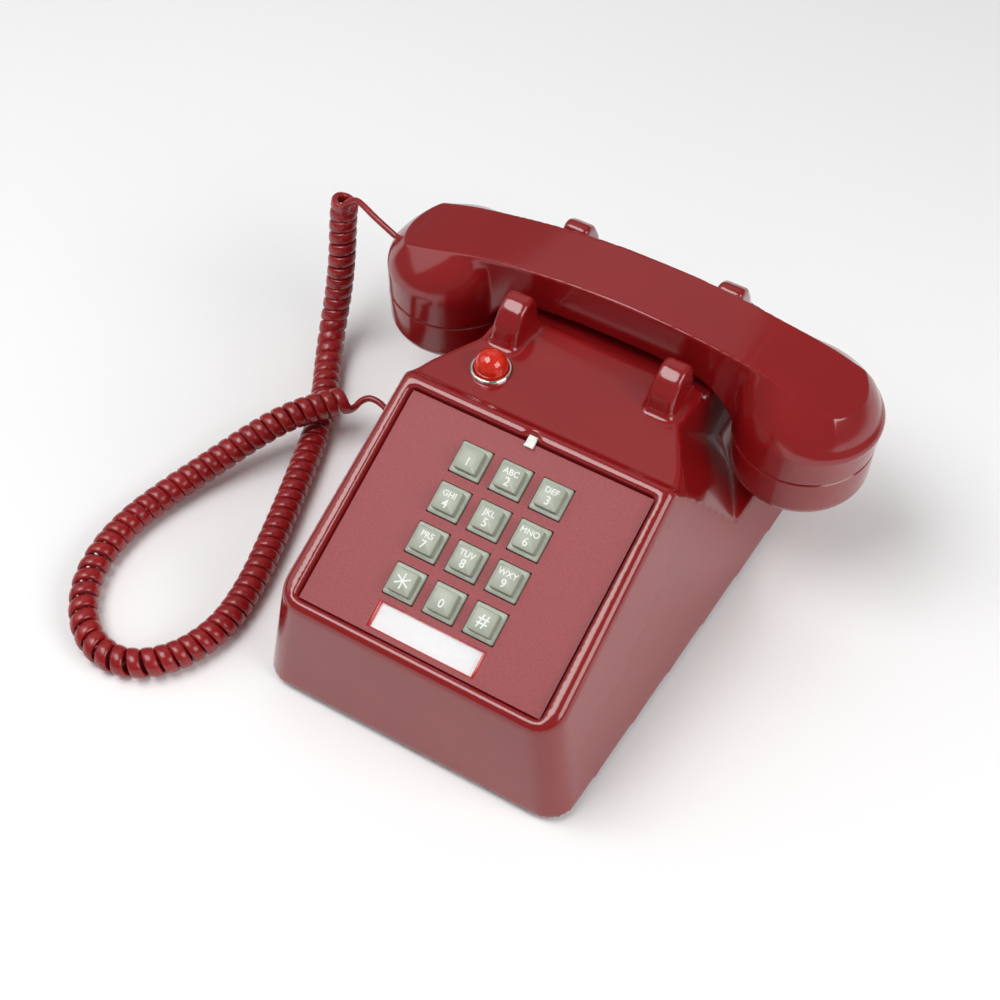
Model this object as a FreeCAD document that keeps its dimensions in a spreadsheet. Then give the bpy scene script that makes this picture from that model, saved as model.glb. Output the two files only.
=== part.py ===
import FreeCAD, Part
import math
import os
import Sketcher
from FreeCAD import Placement, Rotation, Vector

# Push-button desk telephone, in millimetres. +Z is up, -Y is the front, +X is the right-hand side.
# The origin is on the table, under the middle of the telephone.

doc = FreeCAD.newDocument("DeskTelephone")

# ---------------------------------------------------------------- driving dimensions
DIMENSIONS = [
    # housing
    ("halfDepth", 108.5), ("frontHalfWidth", 71.0), ("rearHalfWidth", 79.9), ("footHeight", 3.0),
    ("sideDraft", 0.145), ("frontDraft", 0.09), ("rearDraft", 0.075), ("wallThick", 2.5),
    ("cornerRadius", 12.0), ("rimRadius", 4.5), ("shelfHeight", 95.5), ("shelfFront", -3.5),
    # cradle
    ("towerHalfWidth", 45.5), ("towerFront", 27.0), ("towerRear", 101.0), ("shoulderHeight", 38.5),
    ("scoopRadius", 21.0), ("notchDepthY", 36.0), ("earInner", 30.0), ("earThick", 11.8),
    ("earTop", 112.3), ("troughFront", 47.5), ("troughRear", 84.0), ("troughFloor", 88.0),
    ("gripHalfWidth", 34.0), ("gripLow", 52.0), ("gripHigh", 76.0), ("gripDepth", 26.0),
    # keypad, in the plane of the faceplate
    ("keypadSlope", 23.9), ("keypadY", -51.4), ("keypadZ", 76.6), ("keyPitch", 18.2),
    ("plateWidth", 109.2), ("plateAbove", 44.1), ("plateBelow", 50.6), ("plateThick", 2.4),
    ("rimHeight", 3.0), ("plateGap", 0.9), ("ledgeWidth", 3.0), ("keyHole", 14.2),
    ("keySkirt", 13.4), ("keyTop", 10.0), ("keyHeight", 4.2), ("keyStep", 1.0),
    ("keyFlange", 15.6), ("stemSide", 6.0), ("stemEnd", 11.0), ("frameDeck", 8.6), ("deckThick", 2.0),
    ("frameWidth", 99.0), ("frameLength", 84.0), ("boardDrop", 15.6), ("boardThick", 1.6),
    ("cardWidth", 48.4), ("cardLength", 11.4), ("cardV", -42.8), ("windowThick", 1.0),
    ("latchWidth", 4.0), ("latchLength", 5.2),
    # message lamp
    ("lampX", -33.0), ("lampY", 13.5), ("lampRadius", 6.9), ("lampDome", 9.0), ("bezelRadius", 8.9),
    ("bezelThick", 1.6), ("lampHole", 5.2),
    # handset
    ("handsetY", 68.0), ("capX", 83.6), ("capRadius", 29.6), ("capFloor", 50.7), ("capSeam", 73.0),
    ("capWall", 2.4), ("handleHalf", 15.0), ("archMid", 117.5), ("archLeft", 99.5),
    ("archRight", 104.0), ("archEndX", 99.0), ("handleThick", 21.0), ("cupTop", 103.0),
    ("cupTaper", 14.0), ("cupSkirt", 12.0), ("receiverRadius", 23.5), ("jackZ", 84.0),
    # switch hook
    ("plungerX", 36.0), ("plungerY", 66.0), ("plungerRadius", 4.2), ("plungerTop", 93.0),
    ("plungerFoot", 79.5), ("hookPivotY", 30.0), ("hookPivotZ", 76.0), ("hookPin", 1.5),
    # inside the base
    ("plateInset", 2.8), ("baseSteel", 1.5), ("floorLift", 1.7), ("bracketSteel", 1.5),
    ("leafShelf", 55.0), ("circuitZ", 12.0), ("clapperY", 54.0),
    ("gongX", 31.5), ("gongY", 76.0), ("gongRadius", 28.0),
    ("gongHeight", 12.0), ("gongFloor", 24.0), ("gongSteel", 1.2), ("wheelX", 46.0), ("wheelY", 14.0),
    ("wheelRadius", 11.0), ("wheelWidth", 3.6), ("wheelZ", 12.0), ("axleRadius", 2.0), ("runFit", 0.06),
    # modular jacks and the handset cord
    ("jackY", 16.0), ("jackHeight", 20.0), ("lineX", -34.0), ("lineZ", 16.0), ("plugWide", 7.6),
    ("plugTall", 6.2), ("plugLong", 11.0), ("coilDiameter", 13.0), ("leadDiameter", 3.6),
]

sheet = doc.addObject("Spreadsheet::Sheet", "Dimensions")
for row, (alias, value) in enumerate(DIMENSIONS, start=1):
    sheet.set("A%d" % row, alias)
    sheet.set("B%d" % row, str(value))
    sheet.setAlias("B%d" % row, alias)
doc.recompute()
D = {alias: float(sheet.get(alias)) for alias, value in DIMENSIONS}

SLOPE = math.radians(D["keypadSlope"])
parts = []


# ---------------------------------------------------------------- helpers
def cells(text):
    # An expression in the sheet's words: each alias gets the sheet's name in front of it.
    for alias in sorted(D, key=len, reverse=True):
        text = text.replace(alias, "<" + alias[::-1] + ">")
    for alias in D:
        text = text.replace("<" + alias[::-1] + ">", "Dimensions." + alias)
    return text


def keep(thing, label):
    thing.Label = label
    parts.append(thing)
    return thing


def place(thing, x="0", y="0", z="0"):
    for axis, text in (("x", x), ("y", y), ("z", z)):
        thing.setExpression("Placement.Base." + axis, cells(text))
    return thing


def on_keypad(thing, across="0", along="0", above="0"):
    # Puts a thing drawn flat at the origin into the sloping plane of the faceplate.
    thing.Placement = Placement(Vector(0, 0, 0), Rotation(Vector(1, 0, 0), 1))
    thing.setExpression("Placement.Rotation.Angle", cells("keypadSlope"))
    y = "keypadY + (%s) * cos(keypadSlope * 1 deg) - (%s) * sin(keypadSlope * 1 deg)" % (along, above)
    z = "keypadZ + (%s) * sin(keypadSlope * 1 deg) + (%s) * cos(keypadSlope * 1 deg)" % (along, above)
    return place(thing, across, y, z)


def box(name, size, centre):
    # A Part::Box whose middle in X and Y, and whose underside, are at the centre given.
    thing = doc.addObject("Part::Box", name)
    for side, text in zip(("Length", "Width", "Height"), size):
        thing.setExpression(side, cells(text))
    x = "(%s) - (%s) / 2" % (centre[0], size[0])
    y = "(%s) - (%s) / 2" % (centre[1], size[1])
    return place(thing, x, y, centre[2])


TURNS = {"z": Rotation(), "x": Rotation(Vector(0, 1, 0), 90), "y": Rotation(Vector(1, 0, 0), -90)}


def rod(name, radius, length, start, along="z"):
    thing = doc.addObject("Part::Cylinder", name)
    thing.setExpression("Radius", cells(radius))
    thing.setExpression("Height", cells(length))
    thing.Placement = Placement(Vector(0, 0, 0), TURNS[along])
    return place(thing, *start)


def cone(name, low, high, length, start):
    thing = doc.addObject("Part::Cone", name)
    thing.setExpression("Radius1", cells(low))
    thing.setExpression("Radius2", cells(high))
    thing.setExpression("Height", cells(length))
    return place(thing, *start)


def fuse(name, *shapes):
    thing = doc.addObject("Part::MultiFuse", name)
    thing.Shapes = list(shapes)
    return thing


def cut(name, base, *tools):
    thing = doc.addObject("Part::Cut", name)
    thing.Base = base
    thing.Tool = tools[0] if len(tools) == 1 else fuse(name + "Tools", *tools)
    return thing


def group(name, *shapes):
    thing = doc.addObject("Part::Compound", name)
    thing.Links = list(shapes)
    return thing


def made(name, label, shape):
    # A piece whose outline none of the ready-made features can draw.
    thing = doc.addObject("Part::Feature", name)
    thing.Shape = shape
    return keep(thing, label)


def new_body(name):
    return doc.addObject("PartDesign::Body", name)


def new_sketch(body, name, role, lift="0"):
    sketch = body.newObject("Sketcher::SketchObject", name)
    plane = [item for item in body.Origin.OriginFeatures if item.Role == role][0]
    sketch.AttachmentSupport = [(plane, "")]
    sketch.MapMode = "FlatFace"
    if lift != "0":
        sketch.setExpression("AttachmentOffset.Base.z", cells(lift))
    return sketch


def bind(sketch, constraint, text):
    index = sketch.addConstraint(constraint)
    name = "size%d" % index
    sketch.renameConstraint(index, name)
    sketch.setExpression("Constraints." + name, cells(text))


def rectangle(sketch, width, length):
    # A rectangle about the sketch's origin.
    x = 10.0
    y = 8.0
    corners = [Vector(-x, -y, 0), Vector(x, -y, 0), Vector(x, y, 0), Vector(-x, y, 0)]
    first = sketch.GeometryCount
    for i in range(4):
        sketch.addGeometry(Part.LineSegment(corners[i], corners[(i + 1) % 4]), False)
    for i in range(4):
        sketch.addConstraint(Sketcher.Constraint("Coincident", first + i, 2, first + (i + 1) % 4, 1))
    for i, kind in enumerate(("Horizontal", "Vertical", "Horizontal", "Vertical")):
        sketch.addConstraint(Sketcher.Constraint(kind, first + i))
    sketch.addConstraint(Sketcher.Constraint("Symmetric", first, 1, first + 1, 2, -1, 1))
    bind(sketch, Sketcher.Constraint("DistanceX", first, 1, first, 2, 2 * x), width)
    bind(sketch, Sketcher.Constraint("DistanceY", first + 1, 1, first + 1, 2, 2 * y), length)


def disc(sketch, radius, x="0", y="0"):
    # A circle at a place that is never left of or below the sketch's origin.
    index = sketch.addGeometry(Part.Circle(Vector(5, 5, 0), Vector(0, 0, 1), 2), False)
    bind(sketch, Sketcher.Constraint("Radius", index, 2.0), radius)
    if x == "0" and y == "0":
        sketch.addConstraint(Sketcher.Constraint("Coincident", index, 3, -1, 1))
        return
    bind(sketch, Sketcher.Constraint("DistanceX", -1, 1, index, 3, 5.0), x)
    bind(sketch, Sketcher.Constraint("DistanceY", -1, 1, index, 3, 5.0), y)


def outline(sketch, points):
    # A closed outline of straight runs through points worked out from the sheet.
    first = sketch.GeometryCount
    count = len(points)
    for i in range(count):
        start = Vector(points[i][0], points[i][1], 0)
        end = Vector(points[(i + 1) % count][0], points[(i + 1) % count][1], 0)
        sketch.addGeometry(Part.LineSegment(start, end), False)
    for i in range(count):
        sketch.addConstraint(Sketcher.Constraint("Coincident", first + i, 2, first + (i + 1) % count, 1))
    for i in range(count):
        sketch.addConstraint(Sketcher.Constraint("Block", first + i))


def pad(body, sketch, length, name, middle=False, backwards=False):
    feature = body.newObject("PartDesign::Pad", name)
    feature.Profile = sketch
    feature.setExpression("Length", cells(length))
    feature.Midplane = middle
    feature.Reversed = backwards
    return feature


def pocket(body, sketch, length, name, middle=False, backwards=False):
    feature = body.newObject("PartDesign::Pocket", name)
    feature.Profile = sketch
    feature.setExpression("Length", cells(length))
    feature.Midplane = middle
    feature.Reversed = backwards
    return feature


def spin(body, points, name):
    # A Revolution about Z of an outline drawn as (radius, height).
    sketch = new_sketch(body, name + "Outline", "XZ_Plane")
    outline(sketch, points)
    feature = body.newObject("PartDesign::Revolution", name)
    feature.Profile = sketch
    axis = [item for item in body.Origin.OriginFeatures if item.Role == "Z_Axis"][0]
    feature.ReferenceAxis = (axis, [""])
    feature.Angle = 360.0
    return feature


def polar(body, feature, count, name):
    axis = [item for item in body.Origin.OriginFeatures if item.Role == "Z_Axis"][0]
    pattern = body.newObject("PartDesign::PolarPattern", name)
    pattern.Originals = [feature]
    pattern.Axis = (axis, [""])
    pattern.Angle = 360.0
    pattern.Occurrences = count
    body.Tip = pattern
    return pattern


def face_of(points):
    loop = [Vector(*p) for p in points]
    return Part.Face(Part.makePolygon(loop + [loop[0]]))


def edges_where(shape, test):
    chosen = []
    for edge in shape.Edges:
        middle = edge.valueAt((edge.FirstParameter + edge.LastParameter) / 2)
        ends = [v.Point for v in edge.Vertexes]
        if len(ends) == 2 and test(middle, ends[0], ends[1]):
            chosen.append(edge)
    return chosen


def rounded(shape, radius, test):
    chosen = edges_where(shape, test)
    if not chosen:
        raise RuntimeError("no edges to round at radius %.1f" % radius)
    return shape.makeFillet(radius, chosen)


# ---------------------------------------------------------------- housing
def side_x(y, z):
    # Half-width of the housing: it widens to the rear and draws in towards the top.
    widen = (D["rearHalfWidth"] - D["frontHalfWidth"]) / (2 * D["halfDepth"])
    return D["frontHalfWidth"] + widen * (y + D["halfDepth"]) - D["sideDraft"] * (z - D["footHeight"])


def half_space(point, normal):
    # Everything on the side of the plane that the normal points to, as a very large box.
    reach = 900.0
    space = Part.makeBox(reach, reach, reach, Vector(-reach / 2, -reach / 2, 0))
    space.Placement = Placement(Vector(*point), Rotation(Vector(0, 0, 1), Vector(*normal)))
    return space


def drafted_block(inset, low, high):
    # Four leaning walls between two levels, moved inwards by the inset.
    foot = D["footHeight"]
    widen = (D["rearHalfWidth"] - D["frontHalfWidth"]) / (2 * D["halfDepth"])
    middle = (D["rearHalfWidth"] + D["frontHalfWidth"]) / 2 - inset
    block = Part.makeBox(260, 260, high - low, Vector(-130, -130, low))
    block = block.cut(half_space((middle, 0, foot), (1, -widen, D["sideDraft"])))
    block = block.cut(half_space((-middle, 0, foot), (-1, -widen, D["sideDraft"])))
    block = block.cut(half_space((0, -D["halfDepth"] + inset, foot), (0, -1, D["frontDraft"])))
    block = block.cut(half_space((0, D["halfDepth"] - inset, foot), (0, 1, D["rearDraft"])))
    return block


def across_prism(points, half=130.0):
    # A (y, z) outline carried right across the telephone.
    return face_of([(-half, y, z) for y, z in points]).extrude(Vector(2 * half, 0, 0))


def keypad_point(along, above):
    y = D["keypadY"] + along * math.cos(SLOPE) - above * math.sin(SLOPE)
    z = D["keypadZ"] + along * math.sin(SLOPE) + above * math.cos(SLOPE)
    return y, z


def side_profile(drop, rim_drop):
    # Rim plane, small step, level shelf, cradle top: all lowered by drop, the rim by rim_drop.
    low = keypad_point(-90.0, D["rimHeight"] - rim_drop)
    rise = math.tan(SLOPE)
    crest_y = D["shelfFront"] - 3.5
    crest_z = low[1] + (crest_y - low[0]) * rise
    shelf = D["shelfHeight"] - drop
    return [(low[0], -20.0), low, (crest_y, crest_z), (D["shelfFront"], min(shelf, crest_z)),
            (D["halfDepth"] + 20, shelf), (D["halfDepth"] + 20, -20.0)]


def scoop(side, grow):
    # The hollow beside the cradle that leaves room for the handset's cap.
    flank = D["towerHalfWidth"] - grow
    floor = D["shoulderHeight"] - grow
    r = D["scoopRadius"]
    mid = (flank + 3.0 + r, floor + r)
    c45 = r * math.cos(math.radians(45))
    top = 140.0
    out = 130.0
    start = Vector(flank, 0, D["shelfHeight"] + 10)
    bend = Vector(mid[0] - r, 0, mid[1])
    low = Vector(mid[0], 0, floor)
    curve = Part.Arc(bend, Vector(mid[0] - c45, 0, mid[1] - c45), low)
    edges = [Part.LineSegment(Vector(flank, 0, top), start).toShape(),
             Part.LineSegment(start, bend).toShape(), curve.toShape(),
             Part.LineSegment(low, Vector(out, 0, floor)).toShape(),
             Part.LineSegment(Vector(out, 0, floor), Vector(out, 0, top)).toShape(),
             Part.LineSegment(Vector(out, 0, top), Vector(flank, 0, top)).toShape()]
    along = Part.Face(Part.Wire(edges))
    along.translate(Vector(0, -40, 0))
    hollow = along.extrude(Vector(0, 220, 0))
    # The front of the hollow leans back from the shelf's slanting edge down to the notch.
    a = Vector(side_x(D["shelfFront"], D["shelfHeight"]), D["shelfFront"], D["shelfHeight"])
    b = Vector(D["towerHalfWidth"], D["towerFront"], D["shelfHeight"])
    c = Vector(side_x(D["notchDepthY"], D["shoulderHeight"]), D["notchDepthY"], D["shoulderHeight"])
    normal = (b - a).cross(c - a).normalize()
    if normal.y > 0:
        normal = normal * -1
    ahead = half_space(a + normal * grow, normal)
    hollow = hollow.cut(ahead)
    if side < 0:
        hollow = hollow.mirror(Vector(0, 0, 0), Vector(1, 0, 0))
    return hollow


def housing_block(inset, rim_drop):
    block = drafted_block(inset, D["footHeight"] - (10 if inset else 0), 135.0)
    upright = lambda m, p, q: abs(p.z - q.z) > 100
    block = rounded(block, D["cornerRadius"] - inset, upright)
    block = block.common(across_prism(side_profile(inset, rim_drop)))
    return block


def keypad_slab(width, above, below, low, high):
    # A slab in the plane of the faceplate, between two heights above it.
    slab = Part.makeBox(width, above + below, high - low, Vector(-width / 2, -below, low))
    slab.Placement = Placement(Vector(0, D["keypadY"], D["keypadZ"]),
                               Rotation(Vector(1, 0, 0), D["keypadSlope"]))
    return slab


def ear(side, front):
    # One horn of the cradle, drawn as a (y, z) outline and rounded on top.
    top = D["earTop"]
    base = D["shelfHeight"] - 6.0
    if front:
        line = [(26, base), (26, 96.5), (28.5, 104), (33.5, top - 2.4), (38, top), (43, top),
                (46, top - 4), (48, 97), (48, base)]
    else:
        line = [(83.6, base), (83.6, 97), (85, top - 4), (87, top), (90.5, top), (95, top - 3),
                (98.5, 103), (100.5, 96), (100.5, base)]
    wide = D["earThick"]
    block = face_of([(D["earInner"], y, z) for y, z in line]).extrude(Vector(wide, 0, 0))
    upper = lambda m, p, q: m.z > base + 6 and abs(p.x - q.x) > 5
    block = rounded(block, 1.8, upper)
    rim = lambda m, p, q: m.z > base + 7 and abs(p.x - q.x) < 0.01
    block = rounded(block, 1.3, rim)
    if side < 0:
        block = block.mirror(Vector(0, 0, 0), Vector(1, 0, 0))
    return block


def on_rim(point):
    y, z = keypad_point(0, D["rimHeight"])
    return abs((point.z - z) * math.cos(SLOPE) - (point.y - y) * math.sin(SLOPE)) < 0.02


def make_housing():
    shelf = D["shelfHeight"]
    outer = housing_block(0.0, 0.0)
    for side in (1, -1):
        outer = outer.cut(scoop(side, 0.0))
    trough = across_prism([(D["troughFront"], 120), (D["troughFront"], 93), (52, D["troughFloor"]),
                           (82.5, D["troughFloor"]), (D["troughRear"], 93), (D["troughRear"], 120)])
    outer = outer.cut(trough).Solids[0]
    crest = lambda m, p, q: on_rim(m) and on_rim(p) and abs(p.x - q.x) > 60 and m.y > -20
    rim = lambda m, p, q: on_rim(m) and on_rim(p) and on_rim(q) and not crest(m, p, q)
    outer = rounded(outer, D["rimRadius"], rim)
    outer = rounded(outer, 1.8, crest)
    flank = lambda m, p, q: abs(m.z - shelf) < 0.3 and abs(m.x) > 40 and 27 < m.y < 99
    outer = rounded(outer, 2.0, flank)
    for side in (1, -1):
        outer = outer.fuse([ear(side, True), ear(side, False)])
    outer = outer.cut(cavity())
    return finish_housing(outer)


def cavity():
    # The inside of the shell, kept clear of the keypad's recess and of the hand grip.
    thick = D["wallThick"]
    inner = housing_block(thick, D["rimHeight"] + D["plateThick"] + thick)
    for side in (1, -1):
        inner = inner.cut(scoop(side, thick))
    inner = inner.cut(across_prism([(D["troughFront"] - 3, 130), (D["troughFront"] - 3, 85.5), (88, 85.5),
                                    (88, 130)]))
    grip = Part.makeBox(2 * (D["gripHalfWidth"] + thick), 60, D["gripHigh"] - D["gripLow"] + 2 * thick,
                        Vector(-D["gripHalfWidth"] - thick, 107.5 - D["gripDepth"] - thick,
                               D["gripLow"] - thick))
    return inner.cut(grip)


def finish_housing(shell):
    gap = D["plateGap"]
    wide = D["plateWidth"]
    back = -D["plateThick"]
    recess = keypad_slab(wide + 2 * gap, D["plateAbove"] + gap, D["plateBelow"] + gap, back, 30.0)
    ledge = D["ledgeWidth"]
    window = keypad_slab(wide - 2 * ledge, D["plateAbove"] - ledge, D["plateBelow"] - ledge, -14.0, 5.0)
    shell = shell.cut(recess).cut(window)
    # finger notch behind the latch of the faceplate
    notch = keypad_slab(D["latchWidth"] + 1.0, D["plateAbove"] + 4.0, -D["plateAbove"] + 2.0, -0.2, 8.0)
    shell = shell.cut(notch)
    # hand grip under the rear of the cradle
    grip = Part.makeBox(2 * D["gripHalfWidth"], 60, D["gripHigh"] - D["gripLow"],
                        Vector(-D["gripHalfWidth"], 107.5 - D["gripDepth"], D["gripLow"]))
    shell = shell.cut(grip)
    # guide holes of the two plungers
    for side in (1, -1):
        at = Vector(side * D["plungerX"], D["plungerY"], 70)
        shell = shell.cut(Part.makeCylinder(D["plungerRadius"] + 0.25, 30, at))
    # hole of the message lamp
    shell = shell.cut(Part.makeCylinder(D["lampHole"], 12, Vector(D["lampX"], D["lampY"], 88)))
    # windows of the two modular jacks
    side_hole = Part.makeBox(30, D["plugWide"] + 0.4, D["plugTall"] + 0.4,
                             Vector(-90, D["jackY"] - D["plugWide"] / 2 - 0.2,
                                    D["jackHeight"] - D["plugTall"] / 2 - 0.2))
    rear_hole = Part.makeBox(D["plugWide"] + 3.2, 30, D["plugTall"] + 1.2,
                             Vector(D["lineX"] - D["plugWide"] / 2 - 1.6, 90,
                                    D["lineZ"] - D["plugTall"] / 2 - 0.6))
    shell = shell.cut(side_hole).cut(rear_hole)
    # screw posts that run down the inside of the front and rear walls
    for y in (-D["halfDepth"] + 6.5, D["halfDepth"] - 6.5):
        post = Part.makeBox(9, 9, 26, Vector(-4.5, y - 4.5, D["footHeight"] + 2.2))
        post = post.common(drafted_block(0.5, 0, 60))
        shell = shell.fuse(post)
        shell = shell.cut(Part.makeCylinder(1.9, 22, Vector(0, y, D["footHeight"])))
    return shell.removeSplitter()


made("Housing", "housing", make_housing())


# ---------------------------------------------------------------- base plate, feet and screws
def base_outline(inset):
    front = -D["halfDepth"] + inset
    rear = D["halfDepth"] - inset
    foot = D["footHeight"]
    c = 9.0
    f = side_x(front + c, foot) - inset
    r = side_x(rear - c, foot) - inset
    return [(-f + c, front), (f - c, front), (f, front + c), (r, rear - c), (r - c, rear), (-r + c, rear),
            (-r, rear - c), (-f, front + c)]


plate = new_body("BasePlate")
plate_sketch = new_sketch(plate, "BaseOutline", "XY_Plane", "footHeight + 0.2")
outline(plate_sketch, base_outline(D["plateInset"]))
pad(plate, plate_sketch, "baseSteel", "BasePad")
doc.recompute()
wheel_slot = box("WheelSlot", ("wheelWidth + 2", "2 * wheelRadius - 3", "20"), ("wheelX", "wheelY", "-5"))
screw_holes = [rod("ScrewHole%d" % i, "2.1", "20", ("0", "%s(halfDepth - 6.5)" % sign, "-5"))
               for i, sign in enumerate(("-", ""))]
vent_slots = [box("Vent%d" % i, ("26", "2.4", "20"), ("0", "%d" % (20 + 6 * i), "-5")) for i in range(5)]
keep(cut("BasePlateCut", plate, wheel_slot, *(screw_holes + vent_slots)), "base_plate")

feet = []
for i, (x, y) in enumerate(((-56, -88), (56, -88), (-62, 90), (62, 90))):
    foot = cone("Foot%d" % i, "6.4", "7.4", "footHeight + 0.2", (str(x), str(y), "0"))
    feet.append(foot)
keep(group("Feet", *feet), "rubber_feet")

screws = []
for i, sign in enumerate(("-", "")):
    y = "%s(halfDepth - 6.5)" % sign
    head = rod("ScrewHead%d" % i, "3.6", "1.6", ("0", y, "footHeight - 1.4"))
    shank = rod("ScrewShank%d" % i, "1.85", "18", ("0", y, "footHeight + 0.1"))
    slot = box("ScrewSlot%d" % i, ("6", "0.9", "1.0"), ("0", y, "footHeight - 1.9"))
    screws.append(cut("Screw%d" % i, fuse("ScrewBody%d" % i, head, shank), slot))
keep(group("Screws", *screws), "housing_screws")


# ---------------------------------------------------------------- keypad
PLATE_MIDDLE = "((plateAbove - plateBelow) / 2)"

face = new_body("Faceplate")
face_sketch = new_sketch(face, "FaceOutline", "XY_Plane")
rectangle(face_sketch, "plateWidth", "plateAbove + plateBelow")
pad(face, face_sketch, "plateThick", "FacePad", backwards=True)
doc.recompute()
key_holes = []
for column in (-1, 0, 1):
    for line in range(4):
        hole = box("KeyHole%d%d" % (column + 1, line), ("keyHole", "keyHole", "20"),
                   ("%d * keyPitch" % column, "(%.1f) * keyPitch - %s" % (1.5 - line, PLATE_MIDDLE), "-10"))
        key_holes.append(hole)
card_seat = box("CardSeat", ("cardWidth", "cardLength", "20"),
                ("0", "cardV - %s" % PLATE_MIDDLE, "-1.6"))
keep(on_keypad(cut("FaceplateCut", face, card_seat, *key_holes), along=PLATE_MIDDLE), "faceplate")

card = box("Card", ("cardWidth - 0.8", "cardLength - 0.8", "0.4"), ("0", "0", "0"))
card_lift = doc.addObject("Part::Compound", "CardSheet")
card_lift.Links = [card]
keep(on_keypad(card_lift, along="cardV", above="-1.55"), "designation_card")

glazing = box("Glazing", ("cardWidth - 0.4", "cardLength - 0.4", "windowThick"), ("0", "0", "0"))
keep(on_keypad(group("CardWindow", glazing), along="cardV", above="-1.1"), "card_window")

latch_tab = box("LatchTab", ("latchWidth", "latchLength", "1.2"), ("0", "0", "0"))
latch_step = box("LatchStep", ("latchWidth", "1.2", "0.7"), ("0", "(1.2 - latchLength) / 2", "1.1"))
keep(on_keypad(fuse("FaceplateLatch", latch_tab, latch_step), along="plateAbove + 0.4", above="0.1"),
     "faceplate_latch")

KEYS = ["1", "2", "3", "4", "5", "6", "7", "8", "9", "star", "0", "pound"]


def make_key(label, column, line):
    key = new_body("Key_" + label)
    skirt = new_sketch(key, "Skirt_" + label, "XY_Plane", "-plateThick - 0.4")
    rectangle(skirt, "keySkirt", "keySkirt")
    pad(key, skirt, "keyStep + plateThick + 0.4", "SkirtPad_" + label)
    crown = new_sketch(key, "Crown_" + label, "XY_Plane", "keyStep")
    rectangle(crown, "keyTop", "keyTop")
    pad(key, crown, "keyHeight - keyStep", "CrownPad_" + label)
    flange = new_sketch(key, "Flange_" + label, "XY_Plane", "-plateThick - 0.4")
    rectangle(flange, "keyFlange", "keyFlange")
    pad(key, flange, "1.0", "FlangePad_" + label, backwards=True)
    stem = new_sketch(key, "Stem_" + label, "XY_Plane", "-plateThick - 1.4")
    rectangle(stem, "stemSide", "stemSide")
    last = pad(key, stem, "stemEnd - plateThick - 1.4", "StemPad_" + label, backwards=True)
    doc.recompute()
    top = [i for i, edge in enumerate(last.Shape.Edges, start=1)
           if all(abs(v.Point.z - D["keyHeight"]) < 0.01 for v in edge.Vertexes)]
    bevel = key.newObject("PartDesign::Chamfer", "Bevel_" + label)
    bevel.Base = (last, ["Edge%d" % i for i in top])
    bevel.Size = 0.5
    on_keypad(key, "%d * keyPitch" % column, "(%.1f) * keyPitch" % (1.5 - line))
    return keep(key, "button_" + label)


for index, label in enumerate(KEYS):
    make_key(label, index % 3 - 1, index // 3)

deck = box("Deck", ("frameWidth", "frameLength", "deckThick"), ("0", "0", "0"))
wall_block = box("WallBlock", ("frameWidth", "frameLength", "frameDeck - plateThick"),
                 ("0", "0", "deckThick"))
wall_void = box("WallVoid", ("frameWidth - 4", "frameLength - 4", "frameDeck"), ("0", "0", "deckThick"))
stem_holes = []
for column in (-1, 0, 1):
    for line in range(4):
        stem_holes.append(box("StemHole%d%d" % (column + 1, line), ("stemSide + 0.5", "stemSide + 0.5", "10"),
                              ("%d * keyPitch" % column, "(%.1f) * keyPitch + 1" % (1.5 - line), "-2")))
frame = cut("KeypadFrame", fuse("FrameBlock", deck, cut("FrameWall", wall_block, wall_void)), *stem_holes)
keep(on_keypad(frame, along="-1", above="-frameDeck - deckThick"), "keypad_frame")

board = box("Board", ("frameWidth - 20", "frameLength - 4", "boardThick"), ("0", "0", "0"))
keep(on_keypad(group("KeypadBoard", board), along="-1", above="-boardDrop"), "keypad_board")
domes = []
for column in (-1, 0, 1):
    for line in range(4):
        domes.append(cone("Dome%d%d" % (column + 1, line), "4.2", "2.6", "0.3",
                          ("%d * keyPitch" % column, "(%.1f) * keyPitch + 1" % (1.5 - line), "0")))
keep(on_keypad(group("Domes", *domes), along="-1", above="-boardDrop + boardThick"), "contact_domes")
board_posts = [rod("BoardPost%d" % i, "2.4", "boardDrop - frameDeck - deckThick - boardThick",
                   ("%d" % x, "%d" % y, "0"))
               for i, (x, y) in enumerate(((-36, -37), (36, -37), (-36, 35), (36, 35)))]
keep(on_keypad(group("BoardPosts", *board_posts), above="-boardDrop + boardThick"), "board_spacers")


# ---------------------------------------------------------------- message lamp
def bow(radius, height, steps=5):
    # Points of a quarter ellipse from its foot to its crown.
    turns = [math.radians(90.0 * i / steps) for i in range(steps + 1)]
    return [(radius * math.cos(t), height * math.sin(t)) for t in turns]


lens = new_body("LampLens")
dome = [(x, 2.0 + z) for x, z in bow(D["lampRadius"], D["lampDome"] - 2.0)[:-1]] + [(0, D["lampDome"])]
neck = D["lampHole"] - 0.2
spin(lens, [(0, -4.0), (neck, -4.0), (neck, 0.0), (D["lampRadius"], 0.0)] + dome, "LensShape")
doc.recompute()
lens_hole = new_sketch(lens, "BulbHole", "XY_Plane", "-4")
disc(lens_hole, "3.0")
pocket(lens, lens_hole, "8", "BulbPocket", backwards=True)
place(lens, "lampX", "lampY", "shelfHeight + bezelThick")
keep(lens, "lamp_lens")

bezel = new_body("LampBezel")
spin(bezel, [(D["lampHole"], 0), (D["bezelRadius"], 0), (D["bezelRadius"], 0.7),
             (D["bezelRadius"] - 0.7, D["bezelThick"]), (D["lampHole"], D["bezelThick"])], "BezelShape")
place(bezel, "lampX", "lampY", "shelfHeight")
keep(bezel, "lamp_bezel")

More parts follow.
